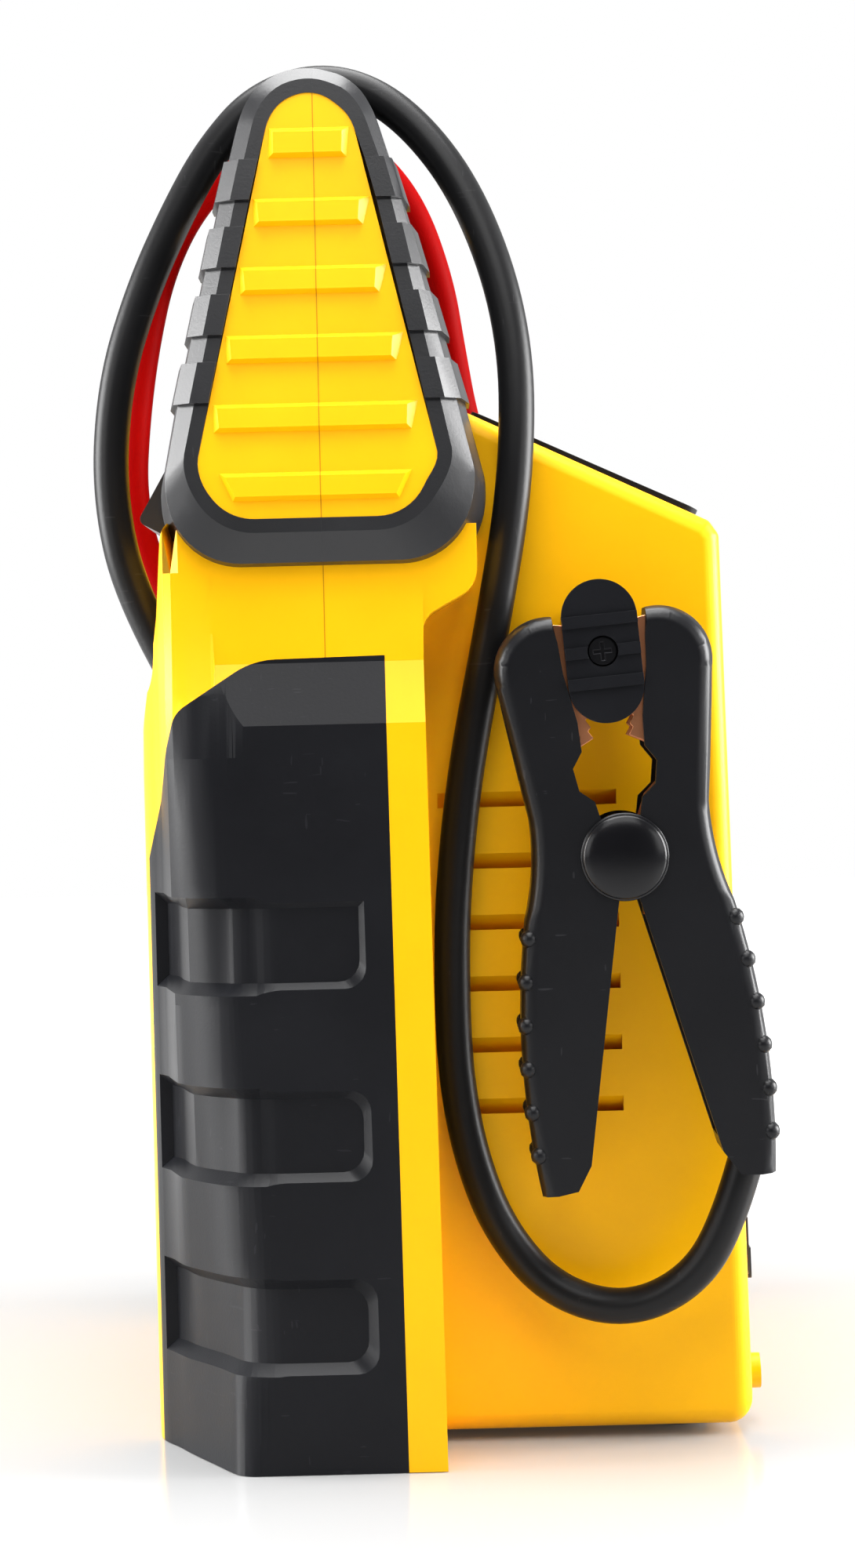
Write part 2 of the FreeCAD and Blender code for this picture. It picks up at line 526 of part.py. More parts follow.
casing_cuts += both(clamp.disc(0, post_v, p.screw_radius + p.fit_gap, wall_c - 1, wall_c + 11.5))

# Cable boots in their wells behind the handle legs.
reach = p.box_half_width
FAR_RUN = [(-reach - 6.5, -17.2, 217.0), (-reach - 6.4, -9.0, 179.5), (-reach - 6.6, -4.9, 146.4),
           (-reach - 6.4, -4.1, 120.4), (-reach - 6.6, -4.6, 98.4), (-reach - 6.8, -7.9, 77.3),
           (-reach - 7.9, -15.1, 57.4), (-reach - 10.8, -28.6, 41.3), (-reach - 16.4, -48.0, 36.3),
           (-clamp_x + 2, -65.6, 45.2), (-clamp_x, -75.0, 62.2), (-clamp_x, -79.6, 78.0)]
CORD = [(-97.0, 66.5, 203.0), (-97.0, 79.1, 225.9), (-97.1, 85.0, 255.3), (-96.5, 82.6, 285.3), (-95.9, 74.5, 310.1),
        (-95.4, 64.6, 331.0), (-94.9, 55.0, 347.6), (-94.3, 41.8, 361.8), (-94.0, 22.5, 366.6), (-96.4, 3.6, 357.6),
        (-104.0, -14.2, 333.0), (-reach - 0.6, -25.3, 296.0), (-reach - 7.0, -24.7, 257.0)] + FAR_RUN
# The red cable stands in a wider loop over the bar than the black one.
RED_CORD = [(97.0, 66.5, 203.0), (97.0, 79.1, 225.9), (97.0, 90.0, 246.0), (96.8, 94.4, 268.0), (96.5, 92.6, 292.0),
            (96.0, 88.9, 316.0), (95.5, 83.0, 340.0), (95.0, 72.0, 361.0), (94.5, 55.0, 376.5), (94.3, 35.0, 382.5),
            (94.5, 15.5, 376.5), (95.5, 1.6, 360.0), (98.0, -6.9, 335.0), (103.0, -10.2, 313.0),
            (reach + 0.6, -14.0, 291.0), (reach + 7.0, -21.8, 265.0), (reach + 7.0, -22.5, 242.0)]
RED_CORD += [(-x, y, z) for x, y, z in FAR_RUN]
route = [V(*point) for point in CORD]
exit_way = (route[1] - route[0]).normalize()
boot_foot = route[0] - exit_way * p.boot_length
boot = Part.makeCone(p.boot_radius, p.cord_radius + 0.9, p.boot_length, boot_foot, exit_way)
well = Part.makeCylinder(p.cord_well, 60, boot_foot, exit_way)
casing_cuts += both(well)

# Lamp bracket on the deck: a strap with two cheeks that carry the hinge pin.
deck_foot = V(0, p.body_depth - 13.5, p.saddle_top)
deck = Frame(deck_foot, V(-1, 0, 0), (V(0, p.deck_y, p.deck_top) - deck_foot).normalize())
cheek_in = p.lamp_half + 0.4
cheek_out = cheek_in + 3.0
strap = deck.box(-cheek_out, cheek_out, 17, 30, 0, 2.5)
low_end = deck.at(0, 6)
high_end = deck.at(0, 30)
high_top = deck.at(0, 30, 2.5)
CHEEK = [(low_end.y, low_end.z, 0), (p.lamp_y + 5, p.lamp_z - 4, 3.0), (p.lamp_y + 4, p.lamp_z + 6, 4.0),
         (p.lamp_y - 5, p.lamp_z + 6, 4.0), (high_top.y, high_top.z, 0), (high_end.y, high_end.z, 0)]
strap = strap.fuse(both(prism_x(CHEEK, -cheek_out, -cheek_in)))
lamp_bore = lamp.disc(0, 0, p.lamp_pin_radius + p.fit_gap, -60, 60)
strap = strap.cut(lamp_bore)
lh = p.lamp_height / 2
LAMP = [(-9.0, -lh + 0.5, 8.5), (p.lamp_reach, -lh, 2.0), (p.lamp_reach, lh, 2.0), (-9.0, lh - 0.5, 8.5)]
housing = lamp.prism(LAMP, -p.lamp_half, p.lamp_half)
bowl = p.lamp_half - 4
housing = housing.cut(lamp.box(3.0, 20, -lh + 3, lh - 3, -bowl, bowl))
housing = housing.cut(lamp.box(p.lamp_reach - 2.5, 20, -lh + 1.5, lh - 1.5, -bowl - 1.5, bowl + 1.5))
housing = housing.cut(lamp_bore)
lamp_lens = lamp.box(p.lamp_reach - 2.5, p.lamp_reach - 0.5, -lh + 1.6, lh - 1.6, -bowl - 1.4, bowl + 1.4)
lamp_board = lamp.box(3.0, 3.0 + p.board_thickness, -lh + 3.1, lh - 3.1, -bowl + 0.1, bowl - 0.1)
for i in range(6):
    x = (i - 2.5) * 8
    lamp_board = lamp_board.fuse(lamp.box(4.0, 5.8, -1.8, 1.8, x - 1.8, x + 1.8))
lamp_pin = lamp.disc(0, 0, p.lamp_pin_radius, -cheek_out - 0.8, cheek_out + 0.8)

# Battery on the box floor, held by a strap.
bat = p.battery_half
bat_floor = p.box_lift + p.wall
bat_top = bat_floor + p.battery_height
bat_y = -30.0
battery = block(-bat, bat, bat_y, bat_y + p.battery_depth, bat_floor, bat_top)
terminals = []
for x in (-bat + 15, bat - 15):
    post_base = block(x - 6, x + 6, bat_y + 30, bat_y + 42, bat_top, bat_top + 6)
    terminals.append(post_base.fuse(Part.makeCylinder(2.5, 4, V(x, bat_y + 36, bat_top + 6))))
STRAP = [(-bat - 12, bat_floor, 0), (-bat - 12, bat_floor + 2, 0), (-bat - 2, bat_floor + 2, 0), (-bat - 2, bat_top + 2, 0),
         (bat + 2, bat_top + 2, 0), (bat + 2, bat_floor + 2, 0), (bat + 12, bat_floor + 2, 0), (bat + 12, bat_floor, 0),
         (bat, bat_floor, 0), (bat, bat_top, 0), (-bat, bat_top, 0), (-bat, bat_floor, 0)]
battery_strap = prism_y(STRAP, bat_y + 4, bat_y + 22)

# Screws that hold the two shells together, each in a boss of both shells.
Y_AXIS = V(0, 1, 0)
casing_screws = []
envelope = rear_mass(0, 0).fuse(box_mass())
for x, z, seam, head_y, tip_y, rib0, rib1 in (
        (90.0, 14.0, p.seam_low, p.seam_low + 14, p.seam_low - 13, bat_floor - 1, 11.0),
        (60.0, p.deck_top - 17, p.seam_high, p.seam_high + 8, p.seam_high - 9, p.deck_top - 15, p.deck_top - 1)):
    tower = Part.makeCylinder(5.0, 120, V(-x, tip_y - 2, z), Y_AXIS).common(envelope)
    casing_adds += both(tower)
    casing_adds += both(block(-x - 1.5, -x + 1.5, tip_y - 2, seam, rib0, rib1))
    casing_cuts += both(Part.makeCylinder(p.screw_radius + p.fit_gap, head_y - tip_y + 1, V(-x, tip_y - 1, z), Y_AXIS))
    casing_cuts += both(Part.makeCylinder(p.screw_head_radius + 0.4, 120, V(-x, head_y, z), Y_AXIS))
    one = Part.makeCylinder(p.screw_radius, head_y - tip_y, V(-x, tip_y, z), Y_AXIS)
    casing_screws += both(one.fuse(Part.makeCylinder(p.screw_head_radius, 2.4, V(-x, head_y, z), Y_AXIS)))


# Clamp: two plastic grips on two copper jaws, a pin with domed caps and a torsion spring.
def trace(start, steps, place):
    """Closed wire of lines (u, v) and arcs ((middle), (end))"""
    edges = []
    here = place(*start)
    for step in steps:
        if isinstance(step[0], tuple):
            middle, there = place(*step[0]), place(*step[1])
            edges.append(Part.Arc(here, middle, there).toShape())
        else:
            there = place(*step)
            edges.append(Part.LineSegment(here, there).toShape())
        here = there
    return Part.Wire(edges)


def back_edge(t, low):
    """Outer edge of a half from the tip to the end of the handle, moved inwards by t"""
    return [((24.3 - 0.75 * t, 59.0 - 0.75 * t), (27.7 - t, 46.0)), ((26.0 - t, 32.0), (23.2 - t, 12.0)),
            ((23.8 - t, -0.5), (27.0 - t, -14.0)), ((31.4 - t, (low - 14.0) / 2 + 2), (30.2 - t + (low + 85) * 0.022, low))]


hub_radius = 9.8
tip_v = 63.2


def grip_wire(t, side, c):
    steps = back_edge(t, -85.0) + [
        (21.0, -84.3), (17.0, -78.0), (3.1, -13.0), (2.27, -9.53), ((hub_radius, 0.0), (4.35, 8.78)),
        (5.1, 10.3), (6.1, 14.8), (9.8, 17.9), (10.8, 23.8), (8.1, 27.9), (8.4, 35.5), (10.7, 48.0),
        (11.3, 56.4), (12.1, tip_v - t)]
    return trace((12.1, tip_v - t), steps, lambda u, v: clamp.at(side * u, v, c))


def jaw_room(t, side, low, inner, half_width):
    """Space inside the back edge, open towards the other half"""
    top = tip_v - t
    steps = back_edge(t, low) + [(inner, low), (inner, top), (9.0, top)]
    wire = trace((9.0, top), steps, lambda u, v: clamp.at(side * u, v, -half_width))
    return Part.Face(wire).extrude(clamp.c * (2 * half_width))


def edge_u(v):
    """Back edge of the handle at the height v"""
    (x1, y1), (x2, y2), (x3, y3) = (27.0, -14.0), (31.4, -47.5), (30.2, -85.0)
    d = 2 * (x1 * (y2 - y3) + x2 * (y3 - y1) + x3 * (y1 - y2))
    cx = ((x1 * x1 + y1 * y1) * (y2 - y3) + (x2 * x2 + y2 * y2) * (y3 - y1) + (x3 * x3 + y3 * y3) * (y1 - y2)) / d
    cy = ((x1 * x1 + y1 * y1) * (x3 - x2) + (x2 * x2 + y2 * y2) * (x1 - x3) + (x3 * x3 + y3 * y3) * (x2 - x1)) / d
    return cx + math.sqrt((x1 - cx) ** 2 + (y1 - cy) ** 2 - (v - cy) ** 2)


def bump(base, way):
    """Grip stud: a low pyramid with a flat top"""
    across = way.cross(clamp.b).normalize()
    rings = []
    for size, rise in ((2.0, 0.0), (1.1, 1.9)):
        corners = [base + across * (size * a) + clamp.b * (size * b) + way * rise
                   for a, b in ((1, 1), (-1, 1), (-1, -1), (1, -1))]
        rings.append(Part.makePolygon(corners + corners[:1]))
    return ruled(rings)


def plastic_half(side, jaw_half):
    ch = p.clamp_half
    layers = [(4.0, -ch), (1.2, -ch + 1.2), (0.0, -ch + 4), (0.0, ch - 4), (1.2, ch - 1.2), (4.0, ch)]
    solid = ruled([grip_wire(t, side, c) for t, c in layers])
    solid = solid.cut(jaw_room(p.skin, side, -74.0, 0.5, jaw_half))
    u0, u1 = 24.55 - 1.4, 27.0 - 1.4
    notch = [(side * u0, 22.0, 0), (side * u1, 42.0, 0), (side * 40, 42.0, 0), (side * 40, 22.0, 0)]
    solid = solid.cut(clamp.prism(notch, -4.5, 4.5))
    for k in range(6):
        v = -18.5 - 11.15 * k
        for face in (-1, 1):
            base = clamp.at(side * (edge_u(v) - 1.3), v, face * 7.9)
            way = clamp.a * (side * 0.72) + clamp.c * (face * 0.69)
            solid = solid.fuse(bump(base, way))
    return solid


def copper_half(side, jaw_half):
    inner = jaw_half - p.jaw_sheet
    steps = back_edge(p.skin, -74.0) + [(18.5, -74.0), (5.1, -13.0), (5.0, 9.0), (7.6, 15.2), (11.3, 18.5),
                                        (12.3, 23.8), (9.3, 28.5)]
    for k in range(10):
        v = 31.0 + 2.9 * k
        steps += [(teeth_line(v), v), (teeth_line(v) + 1.2, v + 1.9)]
    steps += [(teeth_line(tip_v - p.skin), tip_v - p.skin), (9.0, tip_v - p.skin)]
    wire = trace((9.0, tip_v - p.skin), steps, lambda u, v: clamp.at(side * u, v, -jaw_half))
    solid = Part.Face(wire).extrude(clamp.c * (2 * jaw_half))
    solid = solid.fuse(clamp.disc(0, 0, hub_radius - 0.8, -jaw_half, jaw_half))
    solid = solid.cut(jaw_room(p.skin + p.jaw_sheet, side, -74.0, -15.0, inner))
    solid = solid.cut(clamp.box(-60, 60, -90, -70, -30, 30))
    return solid.cut(clamp.disc(0, 0, p.clamp_pin_radius + p.fit_gap, -30, 30))


fixed_grip = plastic_half(-1, p.fixed_jaw_half)
moving_grip = plastic_half(1, p.moving_jaw_half)
fixed_jaw = copper_half(-1, p.fixed_jaw_half)
moving_jaw = copper_half(1, p.moving_jaw_half)
cord_end = route[-1]
cord_way = (route[-1] - route[-2]).normalize()
fixed_grip = fixed_grip.cut(Part.makeCylinder(p.cord_radius + 0.15, 30, cord_end, cord_way * -1))

cap_c = p.clamp_half + 0.2
cap_edge = cap_c + 0.2
crown = cap_c + p.cap_rise
mid_radius = p.cap_radius * 0.62
mid_c = crown - (crown - cap_edge) * 0.36
PIN = [(0.0, crown, 0), (mid_radius, mid_c, 0), (p.cap_radius, cap_edge, 0), (p.cap_radius, cap_c, 0),
       (p.clamp_pin_radius, cap_c, 0), (p.clamp_pin_radius, -cap_c, 0), (p.cap_radius, -cap_c, 0),
       (p.cap_radius, -cap_edge, 0), (mid_radius, -mid_c, 0), (0.0, -crown, 0)]
pin_wire = outline(PIN, lambda r, c: clamp.at(r, 0, c))
clamp_pin = Part.Face(pin_wire).revolve(clamp.origin, clamp.c, 360)


def biarc(p0, t0, p1, t1):
    """Two arcs that leave p0 along t0 and reach p1 along t1"""
    chord = p1 - p0
    total = t0 + t1
    gap = 2 * (1 - t0.dot(t1))
    d = (-chord.dot(total) + math.sqrt(chord.dot(total) ** 2 + gap * chord.dot(chord))) / gap
    joint = (p0 + p1 + (t0 - t1) * d) * 0.5
    edges = []
    for start, way, end in ((p0, t0, joint), (p1, t1 * -1, joint)):
        c = end - start
        side_way = way - c * (way.dot(c) / c.dot(c))
        angle = way.getAngle(c)
        middle = start + c * 0.5 + side_way.normalize() * (c.Length / 2 * math.tan(angle / 2))
        ends = (start, end) if way is t0 else (end, start)
        edges.append(Part.Arc(ends[0], middle, ends[1]).toShape())
    return edges


def swept(edges, radius, sides, start, way):
    """Tube of as many sides as asked, with the section of a round one"""
    corner = radius * math.sqrt(2 * math.pi / (sides * math.sin(2 * math.pi / sides)))
    u = way.cross(X_AXIS).normalize()
    w = way.cross(u).normalize()
    ring = [start + u * (corner * math.cos(2 * math.pi * k / sides)) + w * (corner * math.sin(2 * math.pi * k / sides))
            for k in range(sides)]
    return Part.Wire(edges).makePipeShell([Part.makePolygon(ring + ring[:1])], True, False)


spring_turns = 2.5
leg = 16.0
rise = p.spring_pitch / (2 * math.pi)


def coil_point(angle):
    return clamp.at(p.spring_radius * math.cos(angle), p.spring_radius * math.sin(angle),
                    rise * (angle - spring_turns * math.pi))


def coil_way(angle):
    way = clamp.a * (-p.spring_radius * math.sin(angle)) + clamp.b * (p.spring_radius * math.cos(angle))
    return (way + clamp.c * rise).normalize()


quarters = int(spring_turns * 4)
turn_at = [math.pi / 2 * i for i in range(quarters + 1)]
coil_start = coil_point(0) - coil_way(0) * leg
coil_edges = [Part.LineSegment(coil_start, coil_point(0)).toShape()]
for first, second in zip(turn_at, turn_at[1:]):
    coil_edges += biarc(coil_point(first), coil_way(first), coil_point(second), coil_way(second))
coil_edges.append(Part.LineSegment(coil_point(turn_at[-1]), coil_point(turn_at[-1]) + coil_way(turn_at[-1]) * leg).toShape())
spring = swept(coil_edges, p.spring_wire, 6, coil_start, coil_way(0))
turn_points = [coil_point(math.radians(5 * i)) for i in range(int(spring_turns * 72) + 1)]
least = min((turn_points[i] - turn_points[j]).Length for i in range(len(turn_points))
            for j in range(i + 60, len(turn_points)))
print("spring least self gap", round(least - 2 * p.spring_wire, 3))


def cord(points, radius):
    """Round tube along straight runs joined by tangent arcs"""
    edges = []
    radii = []
    here = points[0]
    for before, corner, after in zip(points, points[1:], points[2:]):
        u = before - corner
        w = after - corner
        turn = math.pi - u.getAngle(w)
        reach = 0.45 * min(u.Length, w.Length)
        bend = reach / math.tan(turn / 2)
        radii.append(round(bend, 1))
        start = corner + u.normalize() * reach
        end = corner + w.normalize() * reach
        inward = (u + w).normalize()
        middle = corner + inward * (bend / math.cos(turn / 2) - bend)
        edges.append(Part.LineSegment(here, start).toShape())
        edges.append(Part.Arc(start, middle, end).toShape())
        here = end
    edges.append(Part.LineSegment(here, points[-1]).toShape())
    tube = swept(edges, radius, 10, points[0], points[1] - points[0])
    length = sum(edge.Length for edge in edges)
    print("cord radii", radii, "length", round(length, 1), "volume ratio",
          round(tube.Volume / (math.pi * radius * radius * length), 5))
    return tube


cable = cord(route, p.cord_radius)
red_cable = cord([V(*point) for point in RED_CORD], p.cord_radius)


# Louvres: slanted slots through a local thickening of each end wall.
louvre_span = 5 * p.louvre_pitch
pad_z0 = p.louvre_low - 12
pad_z1 = p.louvre_low + louvre_span + 7
pad = block(-p.box_half_width + 1, -p.box_half_width + p.louvre_pad, -p.louvre_front - 4,
            -p.louvre_back + 4, pad_z0, pad_z1)
slots = []
for i in range(6):
    z = p.louvre_low + i * p.louvre_pitch
    h2 = p.louvre_height / 2
    outer = -p.box_half_width - 1.0
    inner = -p.box_half_width + p.louvre_pad + 1.0
    drop = (inner - outer) * 0.9
    profile = [(outer, z - h2 + 0.9, 0), (outer, z + h2 + 0.9, 0), (inner, z + h2 + 0.9 - drop, 0),
               (inner, z - h2 + 0.9 - drop, 0)]
    slots.append(prism_y(profile, -p.louvre_front, -p.louvre_back))


# Handle: each leg is a ruled loft through rounded triangles, then a throat and the bar.
def plateau(y, z, out):
    """Point on the leaning end plate, out millimetres towards the end"""
    return V(-p.plateau_x + (z - p.saddle_top) * math.tan(math.radians(p.plateau_lean)) - out, y, z)


RIM = [(p.rim_back, p.rim_bottom, p.rim_corner_radius), (-p.rim_front, p.rim_bottom, p.rim_corner_radius),
       (p.rim_apex_y, p.rim_apex_z, p.rim_top_radius)]
LEG = [(p.leg_back, p.leg_bottom, p.leg_corner_radius), (-p.leg_front, p.leg_bottom, p.leg_corner_radius),
       (p.leg_apex_y, p.leg_apex_z, p.leg_top_radius)]
BEVEL = [tuple(r + p.bevel_share * (l - r) for r, l in zip(a, b)) for a, b in zip(RIM, LEG)]
share = (p.throat_z - p.leg_bottom) / (p.leg_apex_z - p.leg_bottom)
THROAT = [(p.leg_back + share * (p.leg_apex_y - p.leg_back), p.throat_z, p.bar_corner_radius),
          (-p.leg_front + share * (p.leg_apex_y + p.leg_front), p.throat_z, p.bar_corner_radius),
          (p.leg_apex_y, p.leg_apex_z, p.leg_top_radius)]
BAR = [(p.bar_back, p.hand_top, p.bar_corner_radius), (p.bar_front, p.hand_top, p.bar_corner_radius),
       (p.bar_apex_y, p.bar_apex_z, p.bar_top_radius)]


def handle_form(grow):
    """The whole handle, grown (or shrunk) by grow"""
    rim = outline(shrink(RIM, -grow), lambda y, z: plateau(y, z, grow))
    bevel = outline(shrink(BEVEL, -grow), lambda y, z: plateau(y, z, grow * 0.6 - p.rim_drop))
    leg = outline(shrink(LEG, -grow), lambda y, z: plateau(y, z, -p.bevel_depth))
    inner_x = p.hand_half_width - grow
    throat_x = p.throat_x - grow
    leg_end = outline(shrink(LEG, -grow), lambda y, z: V(-throat_x, y, z))
    side = ruled([rim, bevel, leg, leg_end])
    low_leg = prism_x(shrink(LEG, -grow), -throat_x, -inner_x)
    low_leg = low_leg.cut(block(-FAR, 0, -FAR, FAR, p.throat_z - grow, 2 * FAR))
    throat = ruled([outline(shrink(THROAT, -grow), lambda y, z: V(-throat_x, y, z)),
                    outline(shrink(BAR, -grow), lambda y, z: V(-inner_x, y, z))])
    side = side.fuse([low_leg, throat])
    bar = prism_x(shrink(BAR, -grow), -inner_x, inner_x)
    left, right = both(side)
    return bar.fuse([left, right])


handle = handle_form(0)
core = handle_form(-p.grip_thickness)

# End plate: a yellow boss through the soft grip with its six ribs.
PLATE = shrink(RIM, p.rim_width)
plate_bore = prism_x(PLATE, -200, -p.throat_x)
slab = [(plateau(0, z, out).x, z, 0) for z, out in ((200, -0.3), (400, -0.3), (400, -p.grip_thickness - 1.0),
                                                    (200, -p.grip_thickness - 1.0))]
plate = plate_bore.common(prism_y(slab, -100, 150))


def rim_half(z):
    return (p.rim_back + p.rim_front) / 2 * (p.rim_apex_z - z) / (p.rim_apex_z - p.rim_bottom)


for i in range(6):
    z0 = p.rib_low + i * (p.step_pitch + 0.25)
    z1 = z0 + p.rib_height
    reach = min(rim_half(z1) - p.rib_margin, rim_half(p.rim_bottom) - 12.0)
    low_cut = 3.5 if i == 0 else 0.0
    mid = p.rim_apex_y
    foot = [(mid - reach + low_cut, z0, 0), (mid + reach - low_cut, z0, 0), (mid + reach, z1, 0),
            (mid - reach, z1, 0)]
    crest = shrink(foot, 1.1)
    rib = ruled([outline(foot, lambda y, z: plateau(y, z, -1.0)), outline(foot, lambda y, z: plateau(y, z, -0.3)),
                 outline(crest, lambda y, z: plateau(y, z, p.rib_rise - 0.3))])
    plate = plate.fuse(rib)
plates = both(plate)

# Soft grip with four stepped blocks down each flank of both legs.
blocks_form = handle_form(p.step_rise)
rows = []
for i in range(4):
    z = p.step_low + i * p.step_pitch
    rows += both(block(-160, -p.throat_x - 2, -60, 120, z - p.step_height / 2, z + p.step_height / 2))
blocks_form = blocks_form.common(Part.makeCompound(rows))
grip = handle.fuse(blocks_form.Solids).cut(core).cut(casing)
for one in both(plate_bore):
    grip = grip.cut(one)
front_half = block(-FAR, FAR, -FAR, p.seam_high, 0, 2 * FAR)
front_grip = main_solid(grip.common(front_half))
rear_grip = main_solid(grip.cut(front_half))

# Corner guards: a skin of the column, with three recesses whose walls slope at 45 degrees.
guard_inner = rear_mass(p.guard_thickness, -5)
GUARD_VIEW = [(p.guard_front - 1.2, -5, 0), (p.facet_y + 8, -5, 0), (p.facet_y, 155.0, 30.0),
              (p.side_depth + 15.3, p.guard_top - 13.7, 8.0), (p.side_depth - 5, p.guard_top - 0.5, 20.0),
              (p.guard_front, p.guard_top, 0)]
guard_space = prism_x(GUARD_VIEW, -FAR, -p.facet_x).cut(guard_inner)
guard = main_solid(rear_mass(0, 0).common(guard_space))


def recess(z0):
    d = p.recess_depth
    z1 = z0 + p.recess_height
    kept = ruled([outline(shrink(PLAN, 0), lambda x, y: V(x, y, z0)),
                  outline(shrink(PLAN, d), lambda x, y: V(x, y, z0 + d)),
                  outline(shrink(PLAN, d), lambda x, y: V(x, y, z1 - d)),
                  outline(shrink(PLAN, 0), lambda x, y: V(x, y, z1))])
    reach_in = prism_z([(-half - 6, p.recess_front - 6, 0), (-half + 6, p.recess_front + 6, 0),
                        (-p.facet_x - 4, p.facet_y - 6, 0), (-p.facet_x - 4, p.facet_y + 20, 0),
                        (-half - 6, p.facet_y + 20, 0)], z0, z1)
    return reach_in.cut(kept)


for i in range(3):
    guard = guard.cut(recess(p.recess_bottom + i * p.recess_pitch))
guard = main_solid(guard)
left_guard, right_guard = both(guard)

yellow = casing.fuse([core] + plates)
for one in both(guard_space):
    yellow = yellow.cut(one)
yellow = yellow.cut(hollow).fuse(both(pad) + casing_adds)
yellow = yellow.cut(casing_cuts)
for one in slots:
    yellow = yellow.cut(both(one))
FRONT_ROOM = [(-FAR, -50, 0), (p.seam_low, -50, 0), (p.seam_low, p.waist_z, 0), (p.seam_high, p.waist_z, 0),
              (p.seam_high, 2 * FAR, 0), (-FAR, 2 * FAR, 0)]
front_room = prism_x(FRONT_ROOM, -FAR, FAR)
front_shell = yellow.common(front_room)
rear_shell = yellow.cut(front_room)

front_piece = main_solid(front_shell)
rear_piece = main_solid(rear_shell)


def mirrored(shape):
    return shape.mirror(V(0, 0, 0), X_AXIS)


PIECES = [
    ("front_shell", front_piece), ("rear_shell", rear_piece), ("front_grip", front_grip), ("rear_grip", rear_grip),
    ("left_bumper", left_guard), ("right_bumper", right_guard), ("control_panel", panel), ("power_knob", knob),
    ("rotary_switch", switch), ("gauge_lens", lens), ("gauge_leds", Part.makeCompound(leds)),
    ("panel_screws", Part.makeCompound(panel_screws)), ("circuit_board", board),
    ("outlet_socket", outlet), ("outlet_cover", outlet_cover), ("outlet_cover_pin", outlet_pin),
    ("charging_inlet", inlet), ("inlet_cover", inlet_cover), ("inlet_cover_pin", inlet_pin),
    ("left_clamp_post", post), ("right_clamp_post", mirrored(post)),
    ("clamp_post_screws", Part.makeCompound(both(post_screw))),
    ("lamp_bracket", strap), ("lamp_housing", housing), ("lamp_lens", lamp_lens), ("lamp_board", lamp_board),
    ("lamp_hinge_pin", lamp_pin), ("battery", battery), ("battery_terminals", Part.makeCompound(terminals)),
    ("battery_bracket", battery_strap), ("housing_screws", Part.makeCompound(casing_screws)),
    ("box_feet", Part.makeCompound(feet)),
    ("black_cable_boot", boot), ("black_cable", cable), ("red_cable_boot", mirrored(boot)),
    ("red_cable", red_cable),
    ("black_clamp_fixed_grip", fixed_grip), ("black_clamp_moving_grip", moving_grip),
    ("black_clamp_fixed_jaw", fixed_jaw), ("black_clamp_moving_jaw", moving_jaw),
    ("black_clamp_pivot", clamp_pin), ("black_clamp_spring", spring),
    ("red_clamp_fixed_grip", mirrored(fixed_grip)), ("red_clamp_moving_grip", mirrored(moving_grip)),
    ("red_clamp_fixed_jaw", mirrored(fixed_jaw)), ("red_clamp_moving_jaw", mirrored(moving_jaw)),
    ("red_clamp_pivot", mirrored(clamp_pin)), ("red_clamp_spring", mirrored(spring)),
]
for name, shape in PIECES:
    add_feature(name, shape)

# Push buttons: a cap with a flange that stays under the panel.
for label, (x, s) in (("test_button", buttons[0]), ("light_button", buttons[1])):
    stem = doc.addObject("Part::Cylinder", label + "_stem")
    stem.setExpression("Radius", "Sizes.button_radius")
    stem.Height = p.panel_proud - 0.1 - button_foot
    flange = doc.addObject("Part::Cylinder", label + "_flange")
    flange.setExpression("Radius", "Sizes.button_radius + 1.4")
    flange.Height = 1.5
    flange.Placement = FreeCAD.Placement(V(0, 0, pocket_floor - 0.2 - 1.5 - button_foot), FreeCAD.Rotation())
    button = doc.addObject("Part::MultiFuse", label)
    button.Label = label
    button.Shapes = [stem, flange]
    button.Placement = FreeCAD.Placement(slope.at(x, s, button_foot) + V(0, p.origin_shift, 0),
                                         FreeCAD.Rotation(V(0, 0, 1), slope.c))
for name, shape in (("front_shell", front_shell), ("rear_shell", rear_shell), ("grip", grip)):
    print(name, [round(one.Volume) for one in shape.Solids], shape.isValid())
for name, shape in PIECES:
    if len(shape.Solids) != 1:
        print("solids", name, len(shape.Solids), [round(one.Volume, 1) for one in shape.Solids])
for name, shape in PIECES:
    box = shape.optimalBoundingBox()
    print("span", name, [round(k, 2) for k in (box.XMin, box.XMax, box.YMin, box.YMax, box.ZMin, box.ZMax)])
print("outlet", front.at(side_x, outlet_b, 0), "hinges", outlet_hinge, inlet_hinge)
print("normal", slope.c, front.c, "knob", slope.at(0, p.knob_place, 0))

# Every sub-part is checked and written to its own file.
doc.recompute()
for item in doc.Objects:
    if "Invalid" in item.State or "Error" in item.State:
        raise RuntimeError("failed: " + item.Label)
os.makedirs("parts", exist_ok=True)
names = [name for name, shape in PIECES] + ["test_button", "light_button"]
for name in names:
    item = doc.getObjectsByLabel(name)[0]
    if item.Shape.isNull() or not item.Shape.isValid():
        raise RuntimeError("bad shape: " + name)
    item.Shape.exportStep("parts/" + name + ".step")
print("parts", len(names))
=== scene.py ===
# %% [markdown]
# # A jump starter pack, dressed for its picture
# The measured solids arrive as a fixed frame. This lesson gives them soft edges, real materials, smooth
# cables, turned caps and coiled springs, and then sets up the white studio. The pack's own sizes are written
# in millimetres, and MM turns them into Blender's metres.

# %% Load the frame
import json
import math

import bmesh
import bpy
from mathutils import Matrix, Vector


